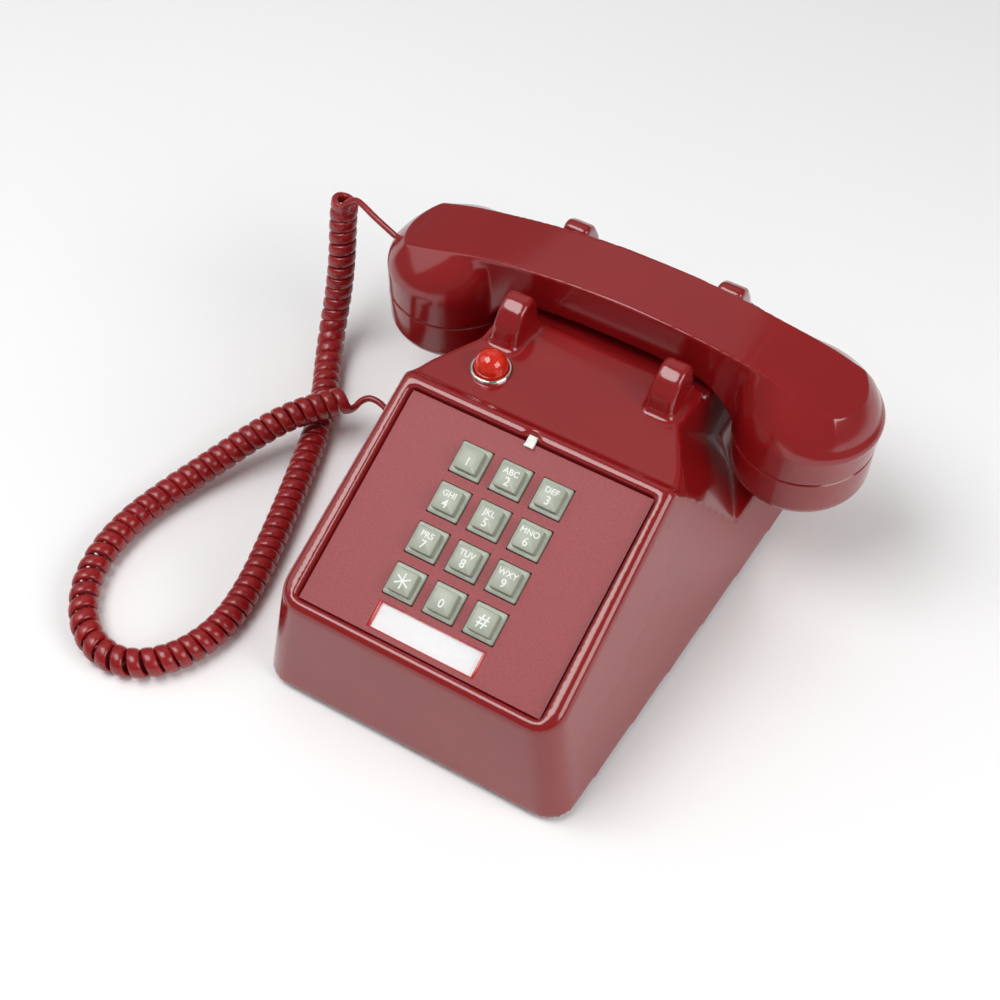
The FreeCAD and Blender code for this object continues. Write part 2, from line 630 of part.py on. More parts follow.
bulb_base = rod("BulbBase", "4.6", "9", ("lampX", "lampY", "shelfHeight - 11.6"))
bulb_glass = rod("BulbGlass", "2.4", "6", ("lampX", "lampY", "shelfHeight - 2.6"))
keep(fuse("LampBulb", bulb_base, bulb_glass), "lamp_bulb")


# ---------------------------------------------------------------- switch hook
for sign, name in (("-", "left"), ("", "right")):
    at = "%splungerX" % sign
    post = rod("Plunger" + name, "plungerRadius", "plungerTop - plungerFoot", (at, "plungerY", "plungerFoot"))
    collar = rod("Collar" + name, "plungerRadius + 1.6", "1.6", (at, "plungerY", "plungerFoot - 1.2"))
    keep(fuse("PlungerBody" + name, post, collar), "plunger_" + name)

bar = box("HookBar", ("2 * plungerX + 10", "9", "1.6"), ("0", "plungerY", "hookPivotZ - 0.3"))
arm_size = ("5", "plungerY - hookPivotY", "1.6")
arms = [box("HookArm%d" % i, arm_size, ("%d" % x, "(plungerY + hookPivotY) / 2", "hookPivotZ - 0.3"))
        for i, x in enumerate((-16, 16))]
eyes = [rod("HookEye%d" % i, "3.4", "5", ("%g" % (x - 2.5), "hookPivotY", "hookPivotZ"), "x")
        for i, x in enumerate((-16, 16))]
pin_bore = rod("HookBore", "hookPin + runFit", "60", ("-30", "hookPivotY", "hookPivotZ"), "x")
keep(cut("HookLever", fuse("HookLeverBlank", bar, *(arms + eyes)), pin_bore), "hook_lever")

uprights = [box("HookUpright%d" % i, ("1.6", "6", "hookPivotZ - 2"),
                ("%g" % x, "hookPivotY", "footHeight + floorLift + bracketSteel"))
            for i, x in enumerate((-22, 22))]
bracket_foot = box("HookFoot", ("45.6", "6", "bracketSteel"), ("0", "hookPivotY", "footHeight + floorLift"))
hook_pin_hole = rod("HookPinHole", "hookPin", "60", ("-30", "hookPivotY", "hookPivotZ"), "x")
keep(cut("HookBracket", fuse("HookBracketBlank", bracket_foot, *uprights), hook_pin_hole), "hook_bracket")
keep(rod("HookPivot", "hookPin", "48", ("-24", "hookPivotY", "hookPivotZ"), "x"), "hook_pivot_pin")

leaves = [box("Leaf%d" % i, ("6", "22", "0.5"), ("0", "hookPivotY - 3", "leafShelf + 3 + %g" % (2.2 * i)))
          for i in range(4)]
stack = box("LeafStack", ("8", "7", "9.5"), ("0", "hookPivotY - 12", "leafShelf + bracketSteel"))
stack_shelf = box("LeafShelf", ("42.4", "7", "bracketSteel"), ("0", "hookPivotY - 3.5", "leafShelf"))
keep(fuse("HookSwitch", stack, stack_shelf, *leaves), "hook_switch")


# ---------------------------------------------------------------- ringer
def make_gong(name, sign):
    gong = new_body("Gong" + name)
    radius = D["gongRadius"]
    height = D["gongHeight"]
    skin = D["gongSteel"]
    outside = [(x, z) for x, z in bow(radius, height)]
    inside = [(x, z) for x, z in bow(radius - skin, height - skin)]
    profile = [(2.0, height)] + outside[:-1][::-1] + inside[:-1] + [(2.0, height - skin)]
    spin(gong, profile, "GongShape" + name)
    place(gong, "%sgongX" % sign, "gongY", "gongFloor")
    return keep(gong, "gong_" + name)


for name, sign in (("left", "-"), ("right", "")):
    make_gong(name, sign)
ringer_plate = box("RingerPlate", ("84", "30", "bracketSteel"), ("0", "gongY - 2", "footHeight + floorLift"))
ringer_posts = []
for i, sign in enumerate(("-", "")):
    ringer_posts.append(rod("GongPost%d" % i, "3.4", "gongFloor + gongHeight - gongSteel - footHeight - 3.4",
                            ("%sgongX" % sign, "gongY", "footHeight + 3.2")))
    ringer_posts.append(rod("GongStud%d" % i, "1.9", "6",
                            ("%sgongX" % sign, "gongY", "gongFloor + gongHeight - gongSteel - 1.5")))
pole_block = box("PoleBlock", ("30", "8", "14"), ("0", "gongY - 21.5", "footHeight + floorLift"))
pivot_post = rod("ClapperPost", "1.5", "16", ("0", "clapperY", "gongFloor - 7"))
keep(fuse("RingerFrame", ringer_plate, pole_block, pivot_post, *ringer_posts), "ringer_frame")
nuts = [cone("GongNut%d" % i, "4.2", "3.4", "2.4", ("%sgongX" % sign, "gongY", "gongFloor + gongHeight"))
        for i, sign in enumerate(("-", ""))]
nut_holes = [rod("NutHole%d" % i, "1.9", "10", ("%sgongX" % sign, "gongY", "gongFloor + gongHeight - 2"))
             for i, sign in enumerate(("-", ""))]
keep(group("GongNuts", *[cut("NutCut%d" % i, nuts[i], nut_holes[i]) for i in range(2)]), "gong_screws")
coil_core = rod("CoilCore", "7.5", "26", ("-13", "gongY - 34.5", "footHeight + 10.3"), "x")
coil_cheeks = [box("CoilCheek%d" % i, ("2", "17", "17"), ("%d" % x, "gongY - 34.5", "footHeight + floorLift"))
               for i, x in enumerate((-14, 14))]
keep(fuse("RingerCoil", coil_core, *coil_cheeks), "ringer_coil")

clapper_hub = rod("ClapperHub", "3.2", "4", ("0", "clapperY", "gongFloor + 2"))
clapper_rod = box("ClapperRod", ("1.4", "21", "1.4"), ("0", "clapperY + 12.1", "gongFloor + 3"))
clapper_ball = rod("ClapperBall", "2.4", "6", ("0", "gongY", "gongFloor + 0.5"))
clapper_bore = rod("ClapperBore", "1.5 + runFit", "20", ("0", "clapperY", "gongFloor - 5"))
keep(cut("Clapper", fuse("ClapperBlank", clapper_hub, clapper_rod, clapper_ball), clapper_bore), "clapper")

wheel_disc = rod("WheelDisc", "wheelRadius", "wheelWidth",
                 ("wheelX - wheelWidth / 2", "wheelY", "wheelZ"), "x")
notches = []
for i in range(20):
    angle = math.radians(18.0 * i)
    notch_y = "wheelY + (wheelRadius + 0.3) * %.5f" % math.cos(angle)
    notch_z = "wheelZ + (wheelRadius + 0.3) * %.5f" % math.sin(angle)
    notches.append(rod("Notch%d" % i, "0.8", "8", ("wheelX - 4", notch_y, notch_z), "x"))
wheel_bore = rod("WheelBore", "axleRadius + runFit", "20", ("wheelX - 10", "wheelY", "wheelZ"), "x")
keep(cut("LoudnessWheel", wheel_disc, wheel_bore, *notches), "loudness_wheel")
cheeks = [box("WheelCheek%d" % i, ("bracketSteel", "9", "wheelZ - 1"),
              ("wheelX + %g" % x, "wheelY", "footHeight + floorLift"))
          for i, x in enumerate((-4, 4))]
axle = rod("WheelAxle", "axleRadius", "10", ("wheelX - 5", "wheelY", "wheelZ"), "x")
keep(fuse("WheelBracket", axle, *cheeks), "wheel_bracket")

# ---------------------------------------------------------------- network board
circuit = box("Circuit", ("78", "58", "boardThick"), ("0", "-50", "circuitZ"))
on_circuit = "circuitZ + boardThick"
standoffs = [rod("Standoff%d" % i, "2.5", "7.3", ("%d" % x, "%d" % y, "footHeight + floorLift"))
             for i, (x, y) in enumerate(((-34, -74), (34, -74), (-34, -26), (34, -26)))]
keep(fuse("NetworkBoard", circuit, *standoffs), "network_board")
chips = [box("Transformer", ("22", "18", "15"), ("-24", "-42", on_circuit)),
         box("Relay", ("16", "10", "9"), ("18", "-66", on_circuit)),
         box("Terminals", ("30", "7", "6"), ("-16", "-70", on_circuit)),
         rod("CapacitorA", "5", "14", ("10", "-36", on_circuit)),
         rod("CapacitorB", "4", "11", ("24", "-36", on_circuit)),
         rod("CapacitorC", "4", "11", ("30", "-50", on_circuit))]
keep(group("Components", *chips), "network_components")


# ---------------------------------------------------------------- jacks, plugs
def socket(name, label, long_side, wide_side, centre, along):
    # A moulded block with the mouth that a modular plug slides into.
    turned = along == "y"
    outer = ["plugLong + 4", "plugWide + 5", "plugTall + 5"]
    inner = ["plugLong + 2", wide_side, long_side]
    shift = "1.1" if centre[3] > 0 else "-1.1"
    if turned:
        outer[0], outer[1] = outer[1], outer[0]
        inner[0], inner[1] = inner[1], inner[0]
    block = box(name + "Block", outer, (centre[0], centre[1], "(%s) - (%s) / 2" % (centre[2], outer[2])))
    mouth_x = centre[0] + (" + " + shift if not turned else "")
    mouth_y = centre[1] + (" + " + shift if turned else "")
    mouth = box(name + "Mouth", inner, (mouth_x, mouth_y, "(%s) - (%s) / 2" % (centre[2], inner[2])))
    return keep(cut(name, block, mouth), label)


SIDE_WALL = side_x(D["jackY"], D["jackHeight"])
socket("BaseJack", "base_cord_jack", "plugTall + 0.1", "plugWide + 0.1",
       ("%.3f" % (-SIDE_WALL + D["wallThick"] + 8.6), "jackY", "jackHeight", -1), "x")
REAR_WALL = D["halfDepth"] - D["rearDraft"] * (D["lineZ"] - D["footHeight"])
socket("LineJack", "line_jack", "plugTall + 0.4", "plugWide + 2.4",
       ("lineX", "%.3f" % (REAR_WALL - D["wallThick"] - 8.2), "lineZ", 1), "y")


def plug(name, label, x, y, z):
    # The tongue is inside the jack, and the strain relief stands out of it, towards -X.
    tongue = box(name + "Tongue", ("plugLong", "plugWide", "plugTall"),
                 ("%.3f" % (x + D["plugLong"] / 2), y, "(%s) - plugTall / 2" % z))
    sleeve = box(name + "Sleeve", ("3.4", "plugWide - 1.6", "plugTall - 1.2"),
                 ("%.3f" % (x - 1.6), y, "(%s) - plugTall / 2 + 0.6" % z))
    return keep(fuse(name, tongue, sleeve), label)


BASE_PLUG_X = -SIDE_WALL - 1.0
plug("BasePlug", "base_cord_plug", BASE_PLUG_X, "jackY", "jackHeight")
HANDSET_PLUG_X = -110.2
plug("HandsetPlug", "handset_cord_plug", HANDSET_PLUG_X, "handsetY", "jackZ")


# ---------------------------------------------------------------- handset
def handset_outline():
    # Side view of the handle and its two ends, as (x, z), with an arched back and grip.
    end = D["archEndX"]
    tip = D["capX"] + D["capRadius"] - 2.0
    seam = D["capSeam"]
    mid = D["archMid"]
    under = mid - D["handleThick"]
    left = D["archLeft"]
    right = D["archRight"]
    v = lambda x, z: Vector(x, D["handsetY"] - D["handleHalf"], z)
    edges = [Part.Arc(v(-end, left), v(0, mid), v(end, right)),
             Part.Arc(v(end, right), v(108.0, 91.0), v(tip, seam + 3)),
             Part.LineSegment(v(tip, seam + 3), v(58, seam + 3)),
             Part.Arc(v(58, seam + 3), v(51.5, 86.5), v(40, 94.2)),
             Part.Arc(v(40, 94.2), v(0, under), v(-40, 93.6)),
             Part.Arc(v(-40, 93.6), v(-51.5, 86), v(-58, seam + 3)),
             Part.LineSegment(v(-58, seam + 3), v(-tip, seam + 3)),
             Part.Arc(v(-tip, seam + 3), v(-108.4, 89), v(-end, left))]
    return Part.Face(Part.Wire([e.toShape() for e in edges]))


def cup(side, shrink):
    # The round end of the handset above its cap.
    r = D["capRadius"] - shrink
    low = D["capSeam"] - (1.0 if shrink else 0.0)
    bend = D["capSeam"] + D["cupSkirt"]
    top = D["cupTop"] - (4.0 if side < 0 else 0.0) - shrink
    at = Vector(side * D["capX"], D["handsetY"], low)
    skirt = Part.makeCylinder(r, bend - low, at)
    crown = Part.makeCone(r, r - D["cupTaper"], top - bend, Vector(at.x, at.y, bend))
    return skirt.fuse(crown).removeSplitter()


def make_handset():
    shell = handset_outline().extrude(Vector(0, 2 * D["handleHalf"], 0))
    back = lambda m, p, q: m.z > 98 and abs(p.x - q.x) > 100
    shell = shell.makeChamfer(1.2, edges_where(shell, back))
    shell = shell.fuse([cup(1, 0.0), cup(-1, 0.0)])
    for side in (1, -1):
        shell = shell.cut(cup(side, D["capWall"] + 0.2))
    wide = D["plugWide"] + 5.2
    tall = D["plugTall"] + 5.2
    seat = Part.makeBox(10.0, wide, tall, Vector(-108.0, D["handsetY"] - wide / 2, D["jackZ"] - tall / 2))
    wide = D["plugWide"] + 0.4
    tall = D["plugTall"] + 0.4
    mouth = Part.makeBox(14.0, wide, tall, Vector(-120.0, D["handsetY"] - wide / 2, D["jackZ"] - tall / 2))
    return shell.cut(seat).cut(mouth).removeSplitter()


made("Handset", "handset_shell", make_handset())

jack_block = box("HandsetJackBlock", ("9.8", "plugWide + 5", "plugTall + 5"),
                 ("-103.0", "handsetY", "jackZ - plugTall / 2 - 2.5"))
jack_mouth = box("HandsetJackMouth", ("8.8", "plugWide + 0.1", "plugTall + 0.1"),
                 ("-103.6", "handsetY", "jackZ - plugTall / 2 - 0.05"))
keep(cut("HandsetJack", jack_block, jack_mouth), "handset_jack")


def make_cap(name, label, side, holes):
    cap = new_body(name)
    r = D["capRadius"]
    wall = D["capWall"]
    floor = D["capFloor"]
    seam = D["capSeam"]
    inside = floor + wall + 0.9
    profile = [(0, floor + 0.8), (r - 9, floor), (r - 5, floor + 0.2), (r - 1.6, floor + 2.4),
               (r - 0.4, floor + 6), (r, seam), (r - wall, seam), (r - wall, floor + 6),
               (r - wall - 3, inside), (0, inside)]
    spin(cap, profile, name + "Shape")
    doc.recompute()
    solid = cap.Shape.Volume
    for ring, count in enumerate(holes, start=1):
        dot = new_sketch(cap, "%sDot%d" % (name, ring), "XY_Plane", "capFloor - 2")
        disc(dot, "1.1", "%g" % (5.4 * ring), "0.001")
        drill = pocket(cap, dot, "8", "%sDrill%d" % (name, ring), backwards=True)
        doc.recompute()
        polar(cap, drill, count, "%sRing%d" % (name, ring))
        doc.recompute()
    if cap.Shape.Volume > solid - 20:
        raise RuntimeError("the sound holes of %s cut nothing" % label)
    place(cap, "%scapX" % ("-" if side < 0 else ""), "handsetY", "0")
    return keep(cap, label)


make_cap("EarCap", "ear_cap", 1, (6,))
make_cap("MouthCap", "mouth_cap", -1, (6, 12))
for sign, name in (("", "receiver_unit"), ("-", "transmitter_unit")):
    middle = "%scapX" % sign
    can = rod(name + "_can", "receiverRadius", "9", (middle, "handsetY", "capFloor + 4"))
    rear = cone(name + "_rear", "receiverRadius - 3", "receiverRadius - 8", "6",
                (middle, "handsetY", "capFloor + 13"))
    keep(fuse(name + "_body", can, rear), name)
contact_cup = cone("ContactCup", "20", "15", "7", ("-capX", "handsetY", "capFloor + 19.2"))
keep(group("ContactCups", contact_cup), "transmitter_contact_cup")


# ---------------------------------------------------------------- handset cord
# Routes are chosen by hand: straight runs between these points, joined by tangent arcs.
HANDSET_LEAD = [(HANDSET_PLUG_X - 3.8, 68.0, 84.0), (-126.5, 71.0, 86.0), (-140.0, 76.5, 87.0),
                (-149.5, 80.5, 81.0), (-150.9, 79.2, 69.5)]
COIL_ROUTE = [(-150.9, 79.2, 69.5), (-148.8, 73.0, 50.0), (-149.6, 68.8, 30.0), (-148.6, 60.0, 14.0),
              (-142.0, 45.5, 6.8), (-133.0, 30.0, 6.6), (-125.0, 14.0, 6.6), (-118.5, -6.0, 6.6),
              (-111.5, -29.0, 6.6), (-104.5, -54.0, 6.6), (-98.5, -78.0, 6.6), (-96.5, -102.0, 6.6),
              (-104.5, -124.0, 6.6), (-121.0, -137.5, 6.6), (-141.0, -135.0, 6.6), (-156.5, -120.0, 6.6),
              (-164.5, -100.0, 6.6), (-165.0, -77.0, 6.8), (-159.5, -55.0, 7.5), (-151.5, -35.0, 10.0),
              (-141.5, -16.0, 16.0), (-131.5, -1.0, 21.4), (-121.5, 13.5, 21.4), (-114.5, 21.5, 20.6)]
BASE_LEAD = [(-114.5, 21.5, 20.6), (-110.6, 26.1, 20.8), (-105.0, 28.3, 20.8), (-99.0, 27.7, 20.6),
             (-91.5, 23.6, 20.4), (-84.2, 17.9, 20.2), (BASE_PLUG_X - 3.3, 16.0, 20.0)]


def cord_tube(route, diameter, label):
    points = [Vector(*p) for p in route]
    pieces = []
    radii = []
    here = points[0]
    length = 0.0
    for i in range(1, len(points) - 1):
        before = points[i] - points[i - 1]
        after = points[i + 1] - points[i]
        turn = before.getAngle(after)
        reach = 0.45 * min(before.Length, after.Length)
        radius = reach / math.tan(turn / 2)
        start = points[i] - before.normalize() * reach
        end = points[i] + after.normalize() * reach
        inward = (after - before).normalize()
        middle = points[i] + inward * (radius / math.cos(turn / 2) - radius)
        pieces.append(Part.LineSegment(here, start).toShape())
        pieces.append(Part.Arc(start, middle, end).toShape())
        radii.append(radius)
        length += (start - here).Length + radius * turn
        here = end
    pieces.append(Part.LineSegment(here, points[-1]).toShape())
    length += (points[-1] - here).Length
    path = Part.Wire(pieces)
    ring = Part.makeCircle(diameter / 2, points[0], points[1] - points[0])
    tube = path.makePipeShell([Part.Wire([ring])], True, False)
    expected = math.pi * (diameter / 2) ** 2 * length
    print("%s: length %.1f mm, radii %s, volume %.3f of expected"
          % (label, length, " ".join("%.0f" % r for r in radii), tube.Volume / expected))
    return tube


made("HandsetLead", "cord_handset_lead", cord_tube(HANDSET_LEAD, D["leadDiameter"], "handset lead"))
made("CoilTube", "cord_coil", cord_tube(COIL_ROUTE, D["coilDiameter"], "coil"))
made("BaseLead", "cord_base_lead", cord_tube(BASE_LEAD, D["leadDiameter"], "base lead"))


# ---------------------------------------------------------------- checks and files
doc.recompute()
for thing in doc.Objects:
    if "Invalid" in thing.State or "Error" in thing.State:
        raise RuntimeError("%s did not rebuild: %s" % (thing.Name, thing.State))
os.makedirs("parts", exist_ok=True)
for thing in parts:
    if thing.Shape.isNull() or not thing.Shape.isValid() or not thing.Shape.Solids:
        raise RuntimeError("%s has no sound solid" % thing.Label)
    thing.Shape.exportStep(os.path.join("parts", thing.Label + ".step"))
print("%d nodes written" % len(parts))
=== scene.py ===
import math
import bmesh
import bpy
from mathutils import Matrix, Vector


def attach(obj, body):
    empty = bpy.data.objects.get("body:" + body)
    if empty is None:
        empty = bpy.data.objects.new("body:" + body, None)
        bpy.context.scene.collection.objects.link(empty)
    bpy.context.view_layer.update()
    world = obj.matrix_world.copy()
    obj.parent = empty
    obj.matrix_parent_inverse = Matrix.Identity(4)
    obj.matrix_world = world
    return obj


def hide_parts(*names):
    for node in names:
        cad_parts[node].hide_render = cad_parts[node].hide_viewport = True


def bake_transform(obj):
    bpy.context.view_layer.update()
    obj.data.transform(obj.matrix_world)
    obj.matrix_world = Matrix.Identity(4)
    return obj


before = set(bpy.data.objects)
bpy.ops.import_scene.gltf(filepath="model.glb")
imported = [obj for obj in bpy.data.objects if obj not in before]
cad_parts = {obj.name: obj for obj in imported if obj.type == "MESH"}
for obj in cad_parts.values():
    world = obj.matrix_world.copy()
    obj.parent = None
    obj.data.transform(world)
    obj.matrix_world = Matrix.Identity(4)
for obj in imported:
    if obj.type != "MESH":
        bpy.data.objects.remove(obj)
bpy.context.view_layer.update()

# Push-button desk telephone. Everything is in metres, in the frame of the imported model.
scene = bpy.context.scene


# Small helpers.

def addObject(name, mesh):
    obj = bpy.data.objects.new(name, mesh)
    scene.collection.objects.link(obj)
    return obj


def meshFrom(name, points, faces):
    mesh = bpy.data.meshes.new(name)
    mesh.from_pydata([tuple(p) for p in points], [], faces)
    mesh.validate()
    return addObject(name, mesh)


def faceOutwards(obj):
    bm = bmesh.new()
    bm.from_mesh(obj.data)
    bmesh.ops.remove_doubles(bm, verts=bm.verts, dist=1e-6)
    bmesh.ops.recalc_face_normals(bm, faces=bm.faces)
    bm.to_mesh(obj.data)
    bm.free()
    return obj


def smoothBelow(obj, degrees):
    # Smooth shading, with creases where faces meet at more than the angle.
    for polygon in obj.data.polygons:
        polygon.use_smooth = True
    obj.data.set_sharp_from_angle(angle=math.radians(degrees))
    return obj


def settle(obj):
    # Applies the modifiers, so that the object is a plain mesh.
    depsgraph = bpy.context.evaluated_depsgraph_get()
    mesh = bpy.data.meshes.new_from_object(obj.evaluated_get(depsgraph))
    obj.modifiers.clear()
    obj.data = mesh
    return obj


def copyOfNode(node, name):
    # A merged copy of a CAD node.
    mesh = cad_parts[node].data.copy()
    mesh.name = name
    obj = addObject(name, mesh)
    bm = bmesh.new()
    bm.from_mesh(mesh)
    bmesh.ops.remove_doubles(bm, verts=bm.verts, dist=2e-6)
    bm.to_mesh(mesh)
    bm.free()
    obj.data.materials.clear()
    return obj


def softenEdges(obj, width, angle=30, segments=3):
    bevel = obj.modifiers.new("Soften", "BEVEL")
    bevel.width = width
    bevel.segments = segments
    bevel.limit_method = "ANGLE"
    bevel.angle_limit = math.radians(angle)
    bevel.miter_outer = "MITER_SHARP"
    bevel.use_clamp_overlap = True
    bevel.harden_normals = False
    return settle(obj)


def lathe(name, profile, middle, steps=96):
    # Turns a (radius, height) outline about a vertical axis. A radius of 0 closes it at a pole, and an
    # outline with no pole is closed from its last point to its first.
    points = []
    rings = []
    for radius, height in profile:
        if radius < 1e-7:
            rings.append([len(points)])
            points.append((middle[0], middle[1], middle[2] + height))
            continue
        rings.append(list(range(len(points), len(points) + steps)))
        for i in range(steps):
            turn = 2 * math.pi * i / steps
            points.append((middle[0] + radius * math.cos(turn), middle[1] + radius * math.sin(turn),
                           middle[2] + height))
    faces = []
    for low, high in zip(rings, rings[1:]):
        for i in range(steps):
            j = (i + 1) % steps
            if len(low) == 1 and len(high) == 1:
                continue
            if len(low) == 1:
                faces.append((low[0], high[j], high[i]))
            elif len(high) == 1:
                faces.append((low[i], low[j], high[0]))
            else:
                faces.append((low[i], low[j], high[j], high[i]))
    if len(rings[0]) > 1 and len(rings[-1]) > 1:
        low = rings[-1]
        high = rings[0]
        for i in range(steps):
            j = (i + 1) % steps
            faces.append((low[i], low[j], high[j], high[i]))
    return faceOutwards(meshFrom(name, points, faces))


def arcPoints(start, through, end, steps):
    # Points of the circle through three points of a plane.
    (ax, ay), (bx, by), (cx, cy) = start, through, end
    d = 2 * (ax * (by - cy) + bx * (cy - ay) + cx * (ay - by))
    aa = ax * ax + ay * ay
    bb = bx * bx + by * by
    cc = cx * cx + cy * cy
    ux = (aa * (by - cy) + bb * (cy - ay) + cc * (ay - by)) / d
    uy = (aa * (cx - bx) + bb * (ax - cx) + cc * (bx - ax)) / d
    radius = math.hypot(ax - ux, ay - uy)
    a = math.atan2(ay - uy, ax - ux)
    b = math.atan2(by - uy, bx - ux)
    c = math.atan2(cy - uy, cx - ux)
    full = 2 * math.pi
    sweep = (c - a) % full
    if (b - a) % full > sweep:
        sweep -= full
    return [(ux + radius * math.cos(a + sweep * i / steps), uy + radius * math.sin(a + sweep * i / steps))
            for i in range(steps + 1)]


def slab(name, outline, low, high):
    # A closed prism over an outline in X and Y.
    count = len(outline)
    points = [(x, y, low) for x, y in outline] + [(x, y, high) for x, y in outline]
    faces = [tuple(range(count))[::-1], tuple(range(count, 2 * count))]
    for i in range(count):
        j = (i + 1) % count
        faces.append((i, j, count + j, count + i))
    return faceOutwards(meshFrom(name, points, faces))


def give(obj, material):
    obj.data.materials.clear()
    obj.data.materials.append(material)
    return obj


# Materials.

class Recipe:
    # A material with its shader and short ways to add nodes.
    def __init__(self, name):
        self.material = bpy.data.materials.new(name)
        self.material.use_nodes = True
        self.nodes = self.material.node_tree.nodes
        self.links = self.material.node_tree.links
        self.shader = self.nodes["Principled BSDF"]
        self.place = self.nodes.new("ShaderNodeTexCoord").outputs["Object"]

    def set(self, **values):
        for name, value in values.items():
            self.shader.inputs[name.replace("_", " ")].default_value = value
        return self

    def noise(self, scale, detail=3.0, roughness=0.55):
        node = self.nodes.new("ShaderNodeTexNoise")
        node.inputs["Scale"].default_value = scale
        node.inputs["Detail"].default_value = detail
        node.inputs["Roughness"].default_value = roughness
        self.links.new(self.place, node.inputs["Vector"])
        return node.outputs["Fac"]

    def ramp(self, source, stops):
        node = self.nodes.new("ShaderNodeValToRGB")
        while len(node.color_ramp.elements) < len(stops):
            node.color_ramp.elements.new(0.5)
        for element, (position, colour) in zip(node.color_ramp.elements, stops):
            element.position = position
            element.color = (*colour, 1.0)
        self.links.new(source, node.inputs["Fac"])
        return node.outputs["Color"]

    def spread(self, source, low, high):
        node = self.nodes.new("ShaderNodeMapRange")
        node.inputs["From Min"].default_value = 0.3
        node.inputs["From Max"].default_value = 0.7
        node.inputs["To Min"].default_value = low
        node.inputs["To Max"].default_value = high
        self.links.new(source, node.inputs["Value"])
        return node.outputs["Result"]

    def colour(self, source):
        self.links.new(source, self.shader.inputs["Base Color"])
        return self

    def rough(self, source):
        self.links.new(source, self.shader.inputs["Roughness"])
        return self

    def bump(self, source, depth, strength=1.0):
        node = self.nodes.new("ShaderNodeBump")
        node.inputs["Strength"].default_value = strength
        node.inputs["Distance"].default_value = depth
        self.links.new(source, node.inputs["Height"])
        self.links.new(node.outputs["Normal"], self.shader.inputs["Normal"])
        return self


redPlastic = {"light": (0.258, 0.0070, 0.0085), "dark": (0.238, 0.0060, 0.0075), "gloss": 0.15, "worn": 0.19}


def glossyRed():
    # Moulded, polished plastic with faint flow marks and a little handling wear.
    recipe = Recipe("glossyRed")
    recipe.set(Specular_IOR_Level=0.55, Coat_Weight=0.35, Coat_Roughness=0.06)
    flow = recipe.noise(26, 2.0)
    wear = recipe.noise(60, 3.0, 0.5)
    recipe.colour(recipe.ramp(flow, [(0.35, redPlastic["dark"]), (0.65, redPlastic["light"])]))
    recipe.rough(recipe.spread(wear, redPlastic["gloss"], redPlastic["worn"]))
    recipe.bump(recipe.noise(30, 1.0), 0.00006, 0.12)
    return recipe.material


def mattePlate():
    # Spark-eroded faceplate: a fine even grain with a dusty bloom.
    recipe = Recipe("mattePlate")
    recipe.set(Specular_IOR_Level=0.5, Sheen_Weight=0.12, Sheen_Roughness=0.5)
    grain = recipe.noise(1300, 3.0, 0.75)
    recipe.colour(recipe.ramp(grain, [(0.32, (0.235, 0.020, 0.025)), (0.50, (0.300, 0.034, 0.040)),
                                      (0.68, (0.380, 0.064, 0.068))]))
    recipe.rough(recipe.spread(grain, 0.40, 0.60))
    recipe.bump(grain, 0.00016, 0.7)
    return recipe.material


def keyGrey():
    recipe = Recipe("keyGrey")
    recipe.set(Specular_IOR_Level=0.5, Coat_Weight=0.2, Coat_Roughness=0.2)
    tone = recipe.noise(220, 3.0)
    recipe.colour(recipe.ramp(tone, [(0.3, (0.300, 0.328, 0.256)), (0.7, (0.348, 0.378, 0.298))]))
    recipe.rough(recipe.spread(recipe.noise(900, 2.0), 0.26, 0.40))
    recipe.bump(recipe.noise(1300, 1.0), 0.00004, 0.3)
    return recipe.material


def legendWhite():
    recipe = Recipe("legendWhite")
    recipe.colour(recipe.ramp(recipe.noise(600), [(0.3, (0.74, 0.76, 0.70)), (0.7, (0.83, 0.85, 0.80))]))
    recipe.rough(recipe.spread(recipe.noise(800), 0.40, 0.55))
    return recipe.material


def cardPaper():
    recipe = Recipe("cardPaper")
    fibre = recipe.noise(900, 4.0, 0.7)
    recipe.colour(recipe.ramp(fibre, [(0.3, (0.82, 0.82, 0.83)), (0.7, (0.88, 0.88, 0.88))]))
    recipe.rough(recipe.spread(fibre, 0.75, 0.9))
    recipe.bump(fibre, 0.00003, 0.4)
    return recipe.material


def clearPlastic():
    recipe = Recipe("clearPlastic")
    recipe.set(Base_Color=(0.97, 0.98, 0.98, 1.0), Transmission_Weight=1.0, IOR=1.46, Alpha=0.12)
    recipe.rough(recipe.spread(recipe.noise(500), 0.03, 0.09))
    return recipe.material


def plainPlastic(name, dark, light, low=0.35, high=0.5):
    recipe = Recipe(name)
    recipe.colour(recipe.ramp(recipe.noise(180, 3.0), [(0.3, dark), (0.7, light)]))
    recipe.rough(recipe.spread(recipe.noise(700, 2.0), low, high))
    recipe.bump(recipe.noise(1100, 1.0), 0.00005, 0.3)
    return recipe.material


def plainMetal(name, dark, light, low=0.2, high=0.35):
    recipe = Recipe(name)
    recipe.set(Metallic=1.0)
    recipe.colour(recipe.ramp(recipe.noise(120, 4.0), [(0.3, dark), (0.7, light)]))
    recipe.rough(recipe.spread(recipe.noise(400, 4.0), low, high))
    recipe.bump(recipe.noise(900, 2.0), 0.00003, 0.3)
    return recipe.material


